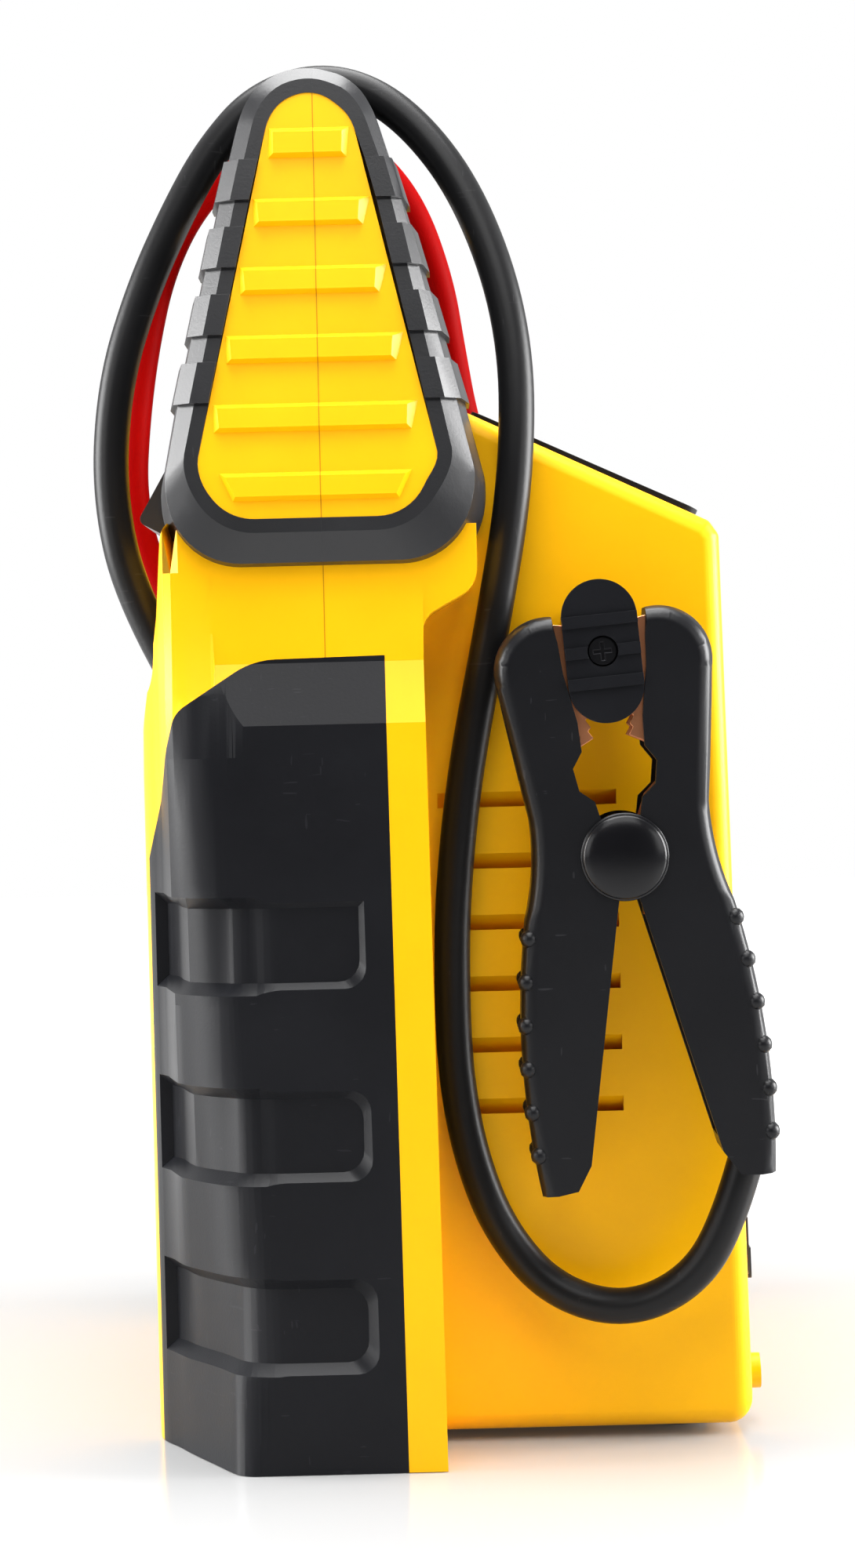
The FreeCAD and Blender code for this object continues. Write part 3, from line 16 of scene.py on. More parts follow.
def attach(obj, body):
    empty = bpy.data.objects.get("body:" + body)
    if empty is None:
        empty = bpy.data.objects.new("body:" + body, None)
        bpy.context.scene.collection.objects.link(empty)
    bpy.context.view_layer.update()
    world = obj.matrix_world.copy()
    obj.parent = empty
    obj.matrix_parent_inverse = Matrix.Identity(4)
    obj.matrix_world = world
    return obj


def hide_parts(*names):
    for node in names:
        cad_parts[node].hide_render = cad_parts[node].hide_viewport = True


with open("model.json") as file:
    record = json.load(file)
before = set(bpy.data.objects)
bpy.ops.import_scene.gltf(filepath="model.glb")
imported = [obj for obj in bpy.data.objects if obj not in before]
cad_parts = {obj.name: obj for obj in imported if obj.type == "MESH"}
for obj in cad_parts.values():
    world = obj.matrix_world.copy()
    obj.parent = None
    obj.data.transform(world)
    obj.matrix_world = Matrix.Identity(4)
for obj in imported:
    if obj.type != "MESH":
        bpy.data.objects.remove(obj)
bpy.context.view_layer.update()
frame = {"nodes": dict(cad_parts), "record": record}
nodes = frame["nodes"]
MM = 0.001

# %% [markdown]
# ## Places
# Each working face of the pack has its own little axes, so a knob or a stud can be placed in the flat
# numbers that a maker would use: along the face, up the face and out of it.

# %% Working faces


class Face:
    """A flat face in space: a runs along it, b runs up it and c stands out of it"""

    def __init__(self, origin, a, b):
        self.origin = Vector(origin) * MM
        self.a = Vector(a).normalized()
        self.b = Vector(b).normalized()
        self.c = self.a.cross(self.b)

    def at(self, a, b, c=0.0):
        return self.origin + (self.a * a + self.b * b + self.c * c) * MM

    def matrix(self, a=0.0, b=0.0, c=0.0):
        turn = Matrix((self.a, self.b, self.c)).transposed().to_4x4()
        return Matrix.Translation(self.at(a, b, c)) @ turn


# Depths are written as on the maker's side view, and DEPTH_SHIFT moves them so that the middle of the outline
# is at the origin. The front and the rear mouldings meet at the depth SEAM_Y.
DEPTH_SHIFT = 2.454
SEAM_Y = 26.5
CLAMP_LEAN = math.radians(4.8)
LAMP_LEAN = math.radians(30.0)
slope = Face((0, -75.6 + DEPTH_SHIFT, 243.8), (1, 0, 0), (0, 0.906550, 0.422098))
lamp_face = Face((0, 70.0 + DEPTH_SHIFT, 256.0), (0, math.cos(LAMP_LEAN), math.sin(LAMP_LEAN)),
                 (0, -math.sin(LAMP_LEAN), math.cos(LAMP_LEAN)))


def clamp_face(side):
    """Axes of a parked clamp: a to the back, b up, c along +X; side is -1 for black and 1 for red"""
    return Face((136.0 * side, -49.1 + DEPTH_SHIFT, 156.2), (0, math.cos(CLAMP_LEAN), -math.sin(CLAMP_LEAN)),
                (0, math.sin(CLAMP_LEAN), math.cos(CLAMP_LEAN)))


CLAMPS = (("black", -1), ("red", 1))
print("slope normal", tuple(round(v, 3) for v in slope.c))

# %% [markdown]
# ## Shader groups
# Two effects come back in the materials: the fine spark-eroded grain of a moulding tool, and the small marks
# of handling. Each is a group with named inputs, so every material only sets its own values.

# %% Helpers for shader nodes


def group_with(name, inputs, outputs):
    """An empty shader group with float or vector sockets"""
    tree = bpy.data.node_groups.new(name, "ShaderNodeTree")
    for label, kind, value in inputs:
        socket = tree.interface.new_socket(label, in_out="INPUT", socket_type="NodeSocket" + kind)
        if value is not None:
            socket.default_value = value
    for label, kind in outputs:
        tree.interface.new_socket(label, in_out="OUTPUT", socket_type="NodeSocket" + kind)
    return tree, tree.nodes.new("NodeGroupInput"), tree.nodes.new("NodeGroupOutput")


def math_node(tree, operation, first, second=None):
    """A Math node whose inputs are numbers or sockets; returns its output"""
    node = tree.nodes.new("ShaderNodeMath")
    node.operation = operation
    for slot_number, value in enumerate((first, second)):
        if value is None:
            continue
        if isinstance(value, (int, float)):
            node.inputs[slot_number].default_value = value
        else:
            tree.links.new(value, node.inputs[slot_number])
    return node.outputs[0]


def noise_node(tree, position, scale, detail=2.0, roughness=0.5):
    """A Noise Texture at a position; its scale is a number or a socket; returns its value"""
    node = tree.nodes.new("ShaderNodeTexNoise")
    node.inputs["Detail"].default_value = detail
    node.inputs["Roughness"].default_value = roughness
    tree.links.new(position, node.inputs["Vector"])
    if isinstance(scale, (int, float)):
        node.inputs["Scale"].default_value = scale
    else:
        tree.links.new(scale, node.inputs["Scale"])
    return node.outputs["Fac"]


# %% Moulded grain
grain_group, g_in, g_out = group_with(
    "moulded_grain", [("Position", "Vector", None), ("Cell", "Float", 0.0008), ("Patch", "Float", 0.03)],
    [("Height", "Float"), ("Mottle", "Float")])
for size, detail, roughness, result in (("Cell", 3.0, 0.6, "Height"), ("Patch", 4.0, 0.55, "Mottle")):
    per_metre = math_node(grain_group, "DIVIDE", 1.0, g_in.outputs[size])
    noise = noise_node(grain_group, g_in.outputs["Position"], per_metre, detail, roughness)
    grain_group.links.new(noise, g_out.inputs[result])
print("moulded grain nodes", len(grain_group.nodes))

# %% Handling marks
# A mark shows where the noise of a streak passes STREAK_EDGE, inside patches whose noise passes PATCH_EDGE.
STREAK_EDGE = 0.735
PATCH_EDGE = 0.54
PATCH_SCALE = 45.0
marks_group, m_in, m_out = group_with(
    "handling_marks", [("Position", "Vector", None), ("Amount", "Float", 0.5)], [("Mask", "Float")])
streaks = []
for turn, stretch in ((0.4, (60.0, 900.0, 160.0)), (-0.9, (70.0, 130.0, 1100.0))):
    mapping = marks_group.nodes.new("ShaderNodeMapping")
    mapping.inputs["Rotation"].default_value = (turn, turn * 0.6, 0.3)
    mapping.inputs["Scale"].default_value = stretch
    marks_group.links.new(m_in.outputs["Position"], mapping.inputs["Vector"])
    streak = noise_node(marks_group, mapping.outputs["Vector"], 1.0, 1.0, 0.4)
    streaks.append(math_node(marks_group, "GREATER_THAN", streak, STREAK_EDGE))
patches = noise_node(marks_group, m_in.outputs["Position"], PATCH_SCALE, 2.0)
gate = math_node(marks_group, "GREATER_THAN", patches, PATCH_EDGE)
both_streaks = math_node(marks_group, "MAXIMUM", streaks[0], streaks[1])
gated = math_node(marks_group, "MULTIPLY", both_streaks, gate)
marks_group.links.new(math_node(marks_group, "MULTIPLY", gated, m_in.outputs["Amount"]), m_out.inputs["Mask"])
print("shader groups", [g.name for g in bpy.data.node_groups])

# %% [markdown]
# ## Materials
# One function builds a finish from a few plain facts: its colour, how much the colour drifts, its gloss, its
# grain and how marked it is. A moulded plastic drifts by a few percent and never has one single gloss.

# %% One recipe for the finishes
materials = {}


def finish_of(name, color, rough, drift=0.06, rough_drift=0.08, cell=0.0009, depth=0.00004, marks=0.0,
              mark_color=(0.25, 0.25, 0.26), metallic=0.0, specular=0.5, transmission=0.0):
    """A procedural finish on Object coordinates"""
    material = bpy.data.materials.new(name)
    material.use_nodes = True
    tree = material.node_tree
    shader = tree.nodes["Principled BSDF"]
    position = tree.nodes.new("ShaderNodeTexCoord").outputs["Object"]
    grain = tree.nodes.new("ShaderNodeGroup")
    grain.node_tree = grain_group
    grain.inputs["Cell"].default_value = cell
    tree.links.new(position, grain.inputs["Position"])
    ramp = tree.nodes.new("ShaderNodeValToRGB")
    ramp.color_ramp.elements[0].position = 0.3
    ramp.color_ramp.elements[1].position = 0.7
    ramp.color_ramp.elements[0].color = tuple(c * (1 - drift) for c in color) + (1.0,)
    ramp.color_ramp.elements[1].color = tuple(min(1.0, c * (1 + drift)) for c in color) + (1.0,)
    tree.links.new(grain.outputs["Mottle"], ramp.inputs["Fac"])
    color_out = ramp.outputs["Color"]
    rough_out = math_node(tree, "MULTIPLY_ADD", grain.outputs["Mottle"], rough_drift)
    rough_out.node.inputs[2].default_value = rough - rough_drift / 2
    if marks > 0:
        worn = tree.nodes.new("ShaderNodeGroup")
        worn.node_tree = marks_group
        worn.inputs["Amount"].default_value = marks
        tree.links.new(position, worn.inputs["Position"])
        mix = tree.nodes.new("ShaderNodeMix")
        mix.data_type = "RGBA"
        mix.inputs["B"].default_value = tuple(mark_color) + (1.0,)
        tree.links.new(worn.outputs["Mask"], mix.inputs["Factor"])
        tree.links.new(color_out, mix.inputs["A"])
        color_out = mix.outputs["Result"]
    tree.links.new(color_out, shader.inputs["Base Color"])
    tree.links.new(rough_out, shader.inputs["Roughness"])
    bump = tree.nodes.new("ShaderNodeBump")
    bump.inputs["Distance"].default_value = depth
    bump.inputs["Strength"].default_value = 0.6
    tree.links.new(grain.outputs["Height"], bump.inputs["Height"])
    tree.links.new(bump.outputs["Normal"], shader.inputs["Normal"])
    shader.inputs["Metallic"].default_value = metallic
    shader.inputs["Specular IOR Level"].default_value = specular
    shader.inputs["Transmission Weight"].default_value = transmission
    materials[name] = material


# %% The finishes of this pack
finish_of("yellow_plastic", (0.95, 0.47, 0.0), 0.36, drift=0.03, cell=0.0011, depth=0.00003, specular=0.22)
finish_of("grip_rubber", (0.0060, 0.0062, 0.0078), 0.34, drift=0.12, cell=0.0007, depth=0.00004, marks=0.35,
          mark_color=(0.04, 0.04, 0.045), specular=0.6)
finish_of("black_plastic", (0.0065, 0.0068, 0.0085), 0.36, drift=0.12, cell=0.0008, depth=0.00005, marks=0.25,
          mark_color=(0.035, 0.035, 0.04), specular=0.18)
finish_of("dark_plastic", (0.012, 0.012, 0.014), 0.36, drift=0.1)
finish_of("clear_plastic", (0.86, 0.9, 0.92), 0.08, drift=0.01, rough_drift=0.02, depth=0.0, transmission=0.9)
finish_of("led_plastic", (0.10, 0.62, 0.16), 0.3, drift=0.05)
finish_of("steel", (0.58, 0.58, 0.60), 0.3, drift=0.05, cell=0.0005, depth=0.00002, metallic=1.0)
finish_of("board_green", (0.02, 0.16, 0.05), 0.4, drift=0.15)
finish_of("board_white", (0.8, 0.8, 0.77), 0.4, drift=0.03)
finish_of("cover_rubber", (0.018, 0.018, 0.021), 0.5, drift=0.1, cell=0.0006, depth=0.00006)
finish_of("lamp_glass", (0.93, 0.95, 0.97), 0.06, drift=0.01, rough_drift=0.02, depth=0.0, transmission=0.92)
finish_of("battery_case", (0.03, 0.03, 0.034), 0.5)
finish_of("lead_metal", (0.4, 0.4, 0.42), 0.45, drift=0.1, metallic=1.0)
finish_of("foot_rubber", (0.016, 0.016, 0.018), 0.6)
finish_of("key_plastic", (0.62, 0.62, 0.62), 0.32, drift=0.02)
finish_of("black_rubber", (0.018, 0.018, 0.021), 0.45, cell=0.0006, depth=0.00005)
finish_of("red_rubber", (0.62, 0.004, 0.012), 0.42, cell=0.0006, depth=0.00005)
finish_of("black_cable_skin", (0.006, 0.006, 0.0065), 0.36, drift=0.15, cell=0.0012, depth=0.00004, marks=0.3,
          mark_color=(0.04, 0.04, 0.042), specular=0.22)
# The red cable's skin is a much darker red than the clamps and boots: painted shade, as the cable runs behind
# the handle where less light reaches it.
finish_of("red_cable_skin", (0.20, 0.0, 0.0), 0.55, drift=0.06, cell=0.0012, depth=0.00004, specular=0.03)
finish_of("black_clamp_plastic", (0.0045, 0.0047, 0.0060), 0.34, drift=0.1, cell=0.0008, depth=0.00004,
          marks=0.3, mark_color=(0.05, 0.05, 0.055), specular=0.28)
finish_of("red_clamp_plastic", (0.66, 0.004, 0.012), 0.38, drift=0.05, cell=0.0008, depth=0.00004, marks=0.2,
          mark_color=(0.75, 0.12, 0.12))
finish_of("black_clamp_cap", (0.004, 0.004, 0.005), 0.24, drift=0.1, depth=0.00002, specular=0.3)
finish_of("red_clamp_cap", (0.60, 0.004, 0.012), 0.30, drift=0.05, depth=0.00002)
finish_of("copper", (0.80, 0.33, 0.16), 0.30, drift=0.18, rough_drift=0.2, cell=0.0007, depth=0.00005,
          marks=0.5, mark_color=(0.25, 0.09, 0.05), metallic=1.0)
finish_of("spring_steel", (0.68, 0.68, 0.70), 0.22, drift=0.04, depth=0.00001, metallic=1.0)
finish_of("marking_white", (0.75, 0.75, 0.74), 0.5, drift=0.02)
finish_of("blackened_steel", (0.03, 0.03, 0.033), 0.32, drift=0.1, metallic=1.0)
print("finishes", len(materials))

# %% [markdown]
# ## The seam
# The two yellow shells meet in a fine line on the end plates. A groove so fine would need tiny faces, so the
# yellow finish turns darker where its Object coordinates lie on the joint.

# %% Seam line of the yellow shells
SEAM_HALF_WIDTH = 0.16
SEAM_FROM_X = 100.0
SEAM_FROM_Z = 208.0
SEAM_COLOR = (0.55, 0.22, 0.0, 1.0)
seam_tree = materials["yellow_plastic"].node_tree
seam_split = seam_tree.nodes.new("ShaderNodeSeparateXYZ")
seam_tree.links.new(seam_tree.nodes["Texture Coordinate"].outputs["Object"], seam_split.inputs["Vector"])
seam_off = math_node(seam_tree, "SUBTRACT", seam_split.outputs["Y"], (SEAM_Y + DEPTH_SHIFT) * MM)
seam_away = math_node(seam_tree, "ABSOLUTE", seam_off)
seam_near = math_node(seam_tree, "LESS_THAN", seam_away, SEAM_HALF_WIDTH * MM)
seam_side = math_node(seam_tree, "ABSOLUTE", seam_split.outputs["X"])
seam_end = math_node(seam_tree, "GREATER_THAN", seam_side, SEAM_FROM_X * MM)
seam_high = math_node(seam_tree, "GREATER_THAN", seam_split.outputs["Z"], SEAM_FROM_Z * MM)
seam_on_end = math_node(seam_tree, "MULTIPLY", seam_near, seam_end)
seam_mask = math_node(seam_tree, "MULTIPLY", seam_on_end, seam_high)
seam_mix = seam_tree.nodes.new("ShaderNodeMix")
seam_mix.data_type = "RGBA"
seam_mix.inputs["B"].default_value = SEAM_COLOR
seam_shader = seam_tree.nodes["Principled BSDF"]
seam_tree.links.new(seam_mask, seam_mix.inputs["Factor"])
seam_tree.links.new(seam_shader.inputs["Base Color"].links[0].from_socket, seam_mix.inputs["A"])
seam_tree.links.new(seam_mix.outputs["Result"], seam_shader.inputs["Base Color"])
print("seam nodes", len(seam_tree.nodes))

# %% [markdown]
# ## Soft edges
# A real moulding has no sharp edge: the tool and the wear round each one by a few tenths of a millimetre, and
# that thin highlight is what the eye reads as plastic. Each visible moulding is copied, its loose triangles
# are merged, flat neighbours are joined, and a bevel rounds what is left.

# %% Dress a solid
slots = {row["node"]: row["material_slot"] for row in frame["record"]["subparts"]}
body_members = frame["record"]["behaviour"]["bodies"]
body_of = {member: name for name, members in body_members.items() for member in members}
# Points closer than MERGE_WITHIN metres are one point, and faces flatter than FLAT_WITHIN are one face.
MERGE_WITHIN = 2e-6
FLAT_WITHIN = math.radians(0.8)
# Edges sharper than SHARP_FROM degrees are rounded, and the piece may grow by MAY_GROW millimetres.
SHARP_FROM = 17.0
MAY_GROW = 0.15
FLAT_FACE_WEIGHT = 60


def keep(piece, node):
    """Says where a new piece belongs: it rides on the node's body"""
    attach(piece, body_of[node])


def evaluated_box(piece):
    """Lowest and highest corner of a piece with its modifiers, in metres"""
    bpy.context.view_layer.update()
    shown = piece.evaluated_get(bpy.context.evaluated_depsgraph_get())
    corners = [Vector(c) for c in shown.bound_box]
    low = [min(c[i] for c in corners) for i in range(3)]
    high = [max(c[i] for c in corners) for i in range(3)]
    return low, high


def dress(node, width, angle=SHARP_FROM, bend=None):
    """A copy of a solid with its edges rounded by width millimetres; bend may reshape it first"""
    mesh = nodes[node].data.copy()
    mesh.name = node + "_soft"
    work = bmesh.new()
    work.from_mesh(mesh)
    bmesh.ops.remove_doubles(work, verts=work.verts, dist=MERGE_WITHIN)
    bmesh.ops.dissolve_limit(work, angle_limit=FLAT_WITHIN, use_dissolve_boundaries=False,
                             verts=work.verts, edges=work.edges)
    if bend:
        bend(work)
    for face in work.faces:
        face.smooth = True
    work.to_mesh(mesh)
    work.free()
    mesh.materials.clear()
    mesh.materials.append(materials[slots[node]])
    piece = bpy.data.objects.new(node + "_soft", mesh)
    bpy.context.collection.objects.link(piece)
    low, high = evaluated_box(piece)
    bevel = piece.modifiers.new("round_edges", "BEVEL")
    bevel.limit_method = "ANGLE"
    bevel.angle_limit = math.radians(angle)
    bevel.segments = 2
    bevel.use_clamp_overlap = True
    weigh = piece.modifiers.new("flat_faces_stay_flat", "WEIGHTED_NORMAL")
    weigh.weight = FLAT_FACE_WEIGHT
    weigh.keep_sharp = True
    for share in (1.0, 0.5, 0.25):
        bevel.width = width * share * MM
        new_low, new_high = evaluated_box(piece)
        growth = max([low[i] - new_low[i] for i in range(3)] + [new_high[i] - high[i] for i in range(3)])
        if growth < MAY_GROW * MM:
            break
    print("dressed", node, "width", round(bevel.width / MM, 3), "growth", round(growth / MM, 3),
          "polygons", len(mesh.polygons))
    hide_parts(node)
    keep(piece, node)
    return piece


# %% [markdown]
# ## Fitting the form to the photograph
# Three forms of the real mouldings differ a little from the plain solids: the corner facet of each column
# narrows towards the top, the ends of the handle are fuller at the flanks and the crown, and the front
# corners of the guards' recesses are round. The first two are bends, rules that move the points of the copy,
# and the columns' faces are cut into strips first, so that they have points to move. The third is a bevel on
# chosen edges.

# %% Helpers for the bends


def eased(value, low, high):
    """0 below low, 1 above high, smooth between"""
    share = min(1.0, max(0.0, (value - low) / (high - low)))
    return share * share * (3 - 2 * share)


def between(value, pairs):
    """Straight interpolation through (place, value) pairs"""
    for (x0, y0), (x1, y1) in zip(pairs, pairs[1:]):
        if value <= x1:
            return y0 + (y1 - y0) * max(0.0, value - x0) / (x1 - x0)
    return pairs[-1][1]


# %% Bend of the columns
HALF_WIDTH = 150.0
# Height, and half width of the end plates there.
END_WIDTH = [(0.0, HALF_WIDTH), (192.0, 148.0), (208.0, 141.0), (229.0, 139.0), (400.0, 139.0)]
# The solid's corner: the depth where its facet starts, the rounding there, and the facet's slope.
CORNER_DEPTH = 50.2
CORNER_ROUND = 18.0
FACET_SLOPE = 50.0 / 26.8
# The real corner: its facet starts deeper the higher it is, and blends with the end plate over TAPER_SOFT.
TAPER_FOOT = 46.6
TAPER_RISE = 0.095
TAPER_SLOPE = 1 / 0.608
TAPER_SOFT = 14.0
# The columns, and the strips and bands that their faces are cut into.
COLUMN_FROM_X = 108.0
COLUMN_FROM_Y = 36.0
COLUMN_TOP = 245.0
CUT_FROM_X = 96.0
CUT_TOP = 246.0
STRIPS = [40 + 2 * k for k in range(19)]
BANDS = [8 + 16 * k for k in range(15)]


def old_corner(y, z):
    """Half width of the solid at the depth y: end face, rounding, facet"""
    turn = math.atan(FACET_SLOPE)
    reach = CORNER_ROUND * math.tan(turn / 2)
    start = CORNER_DEPTH - reach
    if y <= start:
        plain = HALF_WIDTH
    elif y < CORNER_DEPTH + reach * math.cos(turn):
        plain = HALF_WIDTH - CORNER_ROUND + math.sqrt(max(0.0, CORNER_ROUND ** 2 - (y - start) ** 2))
    else:
        plain = HALF_WIDTH - (y - CORNER_DEPTH) * FACET_SLOPE
    return min(plain, between(z, END_WIDTH))


def new_corner(y, z):
    """Half width with a facet that narrows upwards"""
    wide = between(z, END_WIDTH)
    facet = HALF_WIDTH - (y - TAPER_FOOT - TAPER_RISE * z) * TAPER_SLOPE
    gap = max(0.0, TAPER_SOFT - abs(wide - facet)) / TAPER_SOFT
    return min(wide, facet) - gap * gap * TAPER_SOFT / 4


def in_column(face):
    center = face.calc_center_median() / MM
    return abs(center.x) > CUT_FROM_X and center.z < CUT_TOP


def cut_columns(work, place, normal):
    """Cuts the columns' faces along a plane"""
    column = [face for face in work.faces if in_column(face)]
    parts = set(column)
    for face in column:
        parts.update(face.edges)
        parts.update(face.verts)
    bmesh.ops.bisect_plane(work, geom=list(parts), dist=1e-7, plane_co=place, plane_no=normal)


def bend_corner(work):
    """Tapers the corner facets of the columns"""
    for y in STRIPS:
        cut_columns(work, (0, (y + DEPTH_SHIFT) * MM, 0), (0, 1, 0))
    for z in BANDS:
        cut_columns(work, (0, 0, z * MM), (0, 0, 1))
    moved = 0
    for vert in work.verts:
        x, y, z = (v / MM for v in vert.co)
        y -= DEPTH_SHIFT
        side = abs(x)
        if side < COLUMN_FROM_X or y < COLUMN_FROM_Y or z > COLUMN_TOP:
            continue
        old = old_corner(y, z)
        skin = eased(side, old - 16, old - 10) * (1 - eased(side, old + 0.3, old + 0.6))
        shift = (new_corner(y, z) - old) * skin * eased(side, COLUMN_FROM_X, COLUMN_FROM_X + 10)
        shift = min(shift, max(0.0, between(z, END_WIDTH) - side))
        if abs(shift) > 0.01:
            vert.co.x += math.copysign(shift, x) * MM
            moved += 1
    print("corner points moved", moved)


# %% Bend of the handle
HANDLE_FROM_X = 98.0
# The grips' ends reach further down than the handle of the shells.
GRIP_FOOT = 228.0
SHELL_FOOT = 241.0
# The flat end plate: its half depth at PLATE_TOP, and what it gains per millimetre below.
PLATE_TOP = 355.0
PLATE_HALF = 8.5
PLATE_SPREAD = 0.216
# How far the front flank, the plate's front edge, the rear flank and the crown stand out.
FRONT_FULL = 1.3
EDGE_FULL = 1.7
REAR_FULL = 1.2
CROWN_FULL = 1.6


def bend_handle(work, foot):
    """Fuller flanks and crown of the handle's two ends, above the height foot"""
    moved = 0
    for vert in work.verts:
        x, y, z = (v / MM for v in vert.co)
        y -= DEPTH_SHIFT
        side = abs(x)
        if side < HANDLE_FROM_X or z < foot:
            continue
        near = eased(side, HANDLE_FROM_X, HANDLE_FROM_X + 8)
        beyond = abs(y - SEAM_Y) - (PLATE_HALF + (PLATE_TOP - z) * PLATE_SPREAD)
        full = eased(z, 248, 264) * (1 - 0.7 * eased(z, 332, 354)) * near
        if y < SEAM_Y:
            y -= full * (FRONT_FULL + EDGE_FULL * (1 - eased(beyond, 3.5, 8.0))) * eased(beyond, -4.0, -0.8)
        else:
            y += full * REAR_FULL * eased(beyond, -4.0, -0.8)
        z += CROWN_FULL * eased(z, 338, 358) * near
        vert.co = Vector((math.copysign(side, x), y + DEPTH_SHIFT, z)) * MM
        moved += 1
    print("handle points moved", moved)


def bend_grips(work):
    """The bend of the two black grips"""
    bend_handle(work, GRIP_FOOT)


def bend_shell(work):
    """The bends of the two yellow shells"""
    bend_corner(work)
    bend_handle(work, SHELL_FOOT)


# %% Bend of the guards
RECESS_ROUND = 4.5
# The edges to round lie in the guard's outer wall, between these two depths.
GUARD_WALL_X = 140.0
RECESS_FRONT = 15.0
RECESS_BACK = 22.0


def bend_guard(work):
    """Rounds the front corners of the three recesses, then tapers the corner"""
    corners = []
    for edge in work.edges:
        a, b = (v.co / MM for v in edge.verts)
        low, high = sorted((a.y - DEPTH_SHIFT, b.y - DEPTH_SHIFT))
        at_corner = abs(a.x) > GUARD_WALL_X and low > RECESS_FRONT and high < RECESS_BACK
        if at_corner and abs(a.x - b.x) > 1.5 and abs(a.z - b.z) > 1.0:
            corners.append(edge)
    bmesh.ops.bevel(work, geom=corners, offset=RECESS_ROUND * MM, offset_type="OFFSET", segments=5,
                    profile=0.5, affect="EDGES", clamp_overlap=True)
    print("recess corners rounded", len(corners))
    bend_corner(work)
    for vert in work.verts:
        wide = between(vert.co.z / MM, END_WIDTH) * MM
        vert.co.x = min(wide, max(-wide, vert.co.x))


BENDS = {"front_shell": bend_shell, "rear_shell": bend_shell, "front_grip": bend_grips,
         "rear_grip": bend_grips, "left_bumper": bend_guard, "right_bumper": bend_guard}

# %% Round the mouldings
# Width of each piece's rounded edges in millimetres.
SOFT_WIDTHS = {
    "front_shell": 0.7, "rear_shell": 0.7, "front_grip": 0.6, "rear_grip": 0.6, "left_bumper": 0.8,
    "right_bumper": 0.8, "control_panel": 0.5, "power_knob": 0.6, "outlet_socket": 0.4, "outlet_cover": 0.4,
    "charging_inlet": 0.3, "inlet_cover": 0.4, "left_clamp_post": 0.35, "right_clamp_post": 0.35,
    "lamp_bracket": 0.5, "lamp_housing": 0.9, "gauge_lens": 0.3, "test_button": 0.5, "light_button": 0.5,
    "clamp_post_screws": 0.15, "housing_screws": 0.2, "panel_screws": 0.2, "box_feet": 0.4,
}
for clamp_color, _ in CLAMPS:
    for kind, width in (("grip", 0.6), ("jaw", 0.15)):
        for half in ("fixed", "moving"):
            SOFT_WIDTHS["%s_clamp_%s_%s" % (clamp_color, half, kind)] = width
# A clamp's grip has many low facets, so only its sharpest edges are rounded.
GRIP_SHARP_FROM = 50.0
soft = {}
for node, width in SOFT_WIDTHS.items():
    angle = GRIP_SHARP_FROM if "clamp" in node and "grip" in node else SHARP_FROM
    soft[node] = dress(node, width, angle, BENDS.get(node))
# The screws in the posts are blackened, unlike the others of their slot.
soft["clamp_post_screws"].data.materials[0] = materials["blackened_steel"]

# %% Finishes for the solids that keep their own mesh
plain_nodes = [node for node in nodes if node not in soft]
for node in plain_nodes:
    nodes[node].data.materials.clear()
    nodes[node].data.materials.append(materials[slots[node]])
print("solids with their own mesh", len(plain_nodes))

# %% [markdown]
# ## Turned pieces
# Caps and boots are round, and the frame holds them with flat faces. A lathe function spins a smooth profile
# round its axis, which gives a clean highlight on the domed cap of each clamp.

# %% Lathe


def lathe(name, profile, place, material, steps=72):
    """Spins a profile of (radius, height) in millimetres round the c axis of place"""
    mesh = bpy.data.meshes.new(name)
    work = bmesh.new()
    rings = []
    for radius, height in profile:
        if radius < 1e-6:
            rings.append([work.verts.new(place @ Vector((0, 0, height * MM)))])
            continue
        ring = []
        for k in range(steps):
            turn = 2 * math.pi * k / steps
            point = Vector((math.cos(turn) * radius, math.sin(turn) * radius, height)) * MM
            ring.append(work.verts.new(place @ point))
        rings.append(ring)
    for first, second in zip(rings, rings[1:]):
        for k in range(steps):
            n = (k + 1) % steps
            if len(first) == 1:
                work.faces.new((first[0], second[k], second[n]))
            elif len(second) == 1:
                work.faces.new((first[k], second[0], first[n]))
            else:
                work.faces.new((first[k], second[k], second[n], first[n]))
    bmesh.ops.recalc_face_normals(work, faces=work.faces)
    for face in work.faces:
        face.smooth = True
    work.to_mesh(mesh)
    work.free()
    mesh.set_sharp_from_angle(angle=math.radians(40))
    mesh.materials.append(material)
    piece = bpy.data.objects.new(name, mesh)
    bpy.context.collection.objects.link(piece)
    return piece


# %% Domed caps of the clamps
CAP_RADIUS = 11.4
CAP_FOOT = 10.7
CAP_RIM = 0.7
CAP_CROWN = 13.7
DOME_STEPS = 8
PIN_RADIUS = 3.0


def domed_profile():
    """Both caps and the pin between them, from one crown to the other"""
    half_profile = [(0.0, CAP_CROWN)]
    for k in range(1, DOME_STEPS + 1):
        turn = k / DOME_STEPS * math.pi / 2
        half_profile.append((CAP_RADIUS * 0.955 * math.sin(turn),
                             CAP_FOOT + CAP_RIM + (CAP_CROWN - CAP_FOOT - CAP_RIM) * math.cos(turn)))
    half_profile += [(CAP_RADIUS * 0.985, CAP_FOOT + 0.55), (CAP_RADIUS, CAP_FOOT + 0.3),
                     (CAP_RADIUS, CAP_FOOT), (PIN_RADIUS, CAP_FOOT)]
    return half_profile + [(r, -h) for r, h in reversed(half_profile)]


for clamp_color, side in CLAMPS:
    cap = lathe(clamp_color + "_cap", domed_profile(), clamp_face(side).matrix(),
                materials[clamp_color + "_clamp_cap"])
    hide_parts(clamp_color + "_clamp_pivot")
    keep(cap, clamp_color + "_clamp_pivot")
    print(cap.name, "vertices", len(cap.data.vertices))

# %% [markdown]
# ## Springs
# The torsion spring is one wire: a leg, two and a half turns and a second leg. A poly curve through points of
# the helix with a round bevel gives the wire, and the legs leave along the tangent.

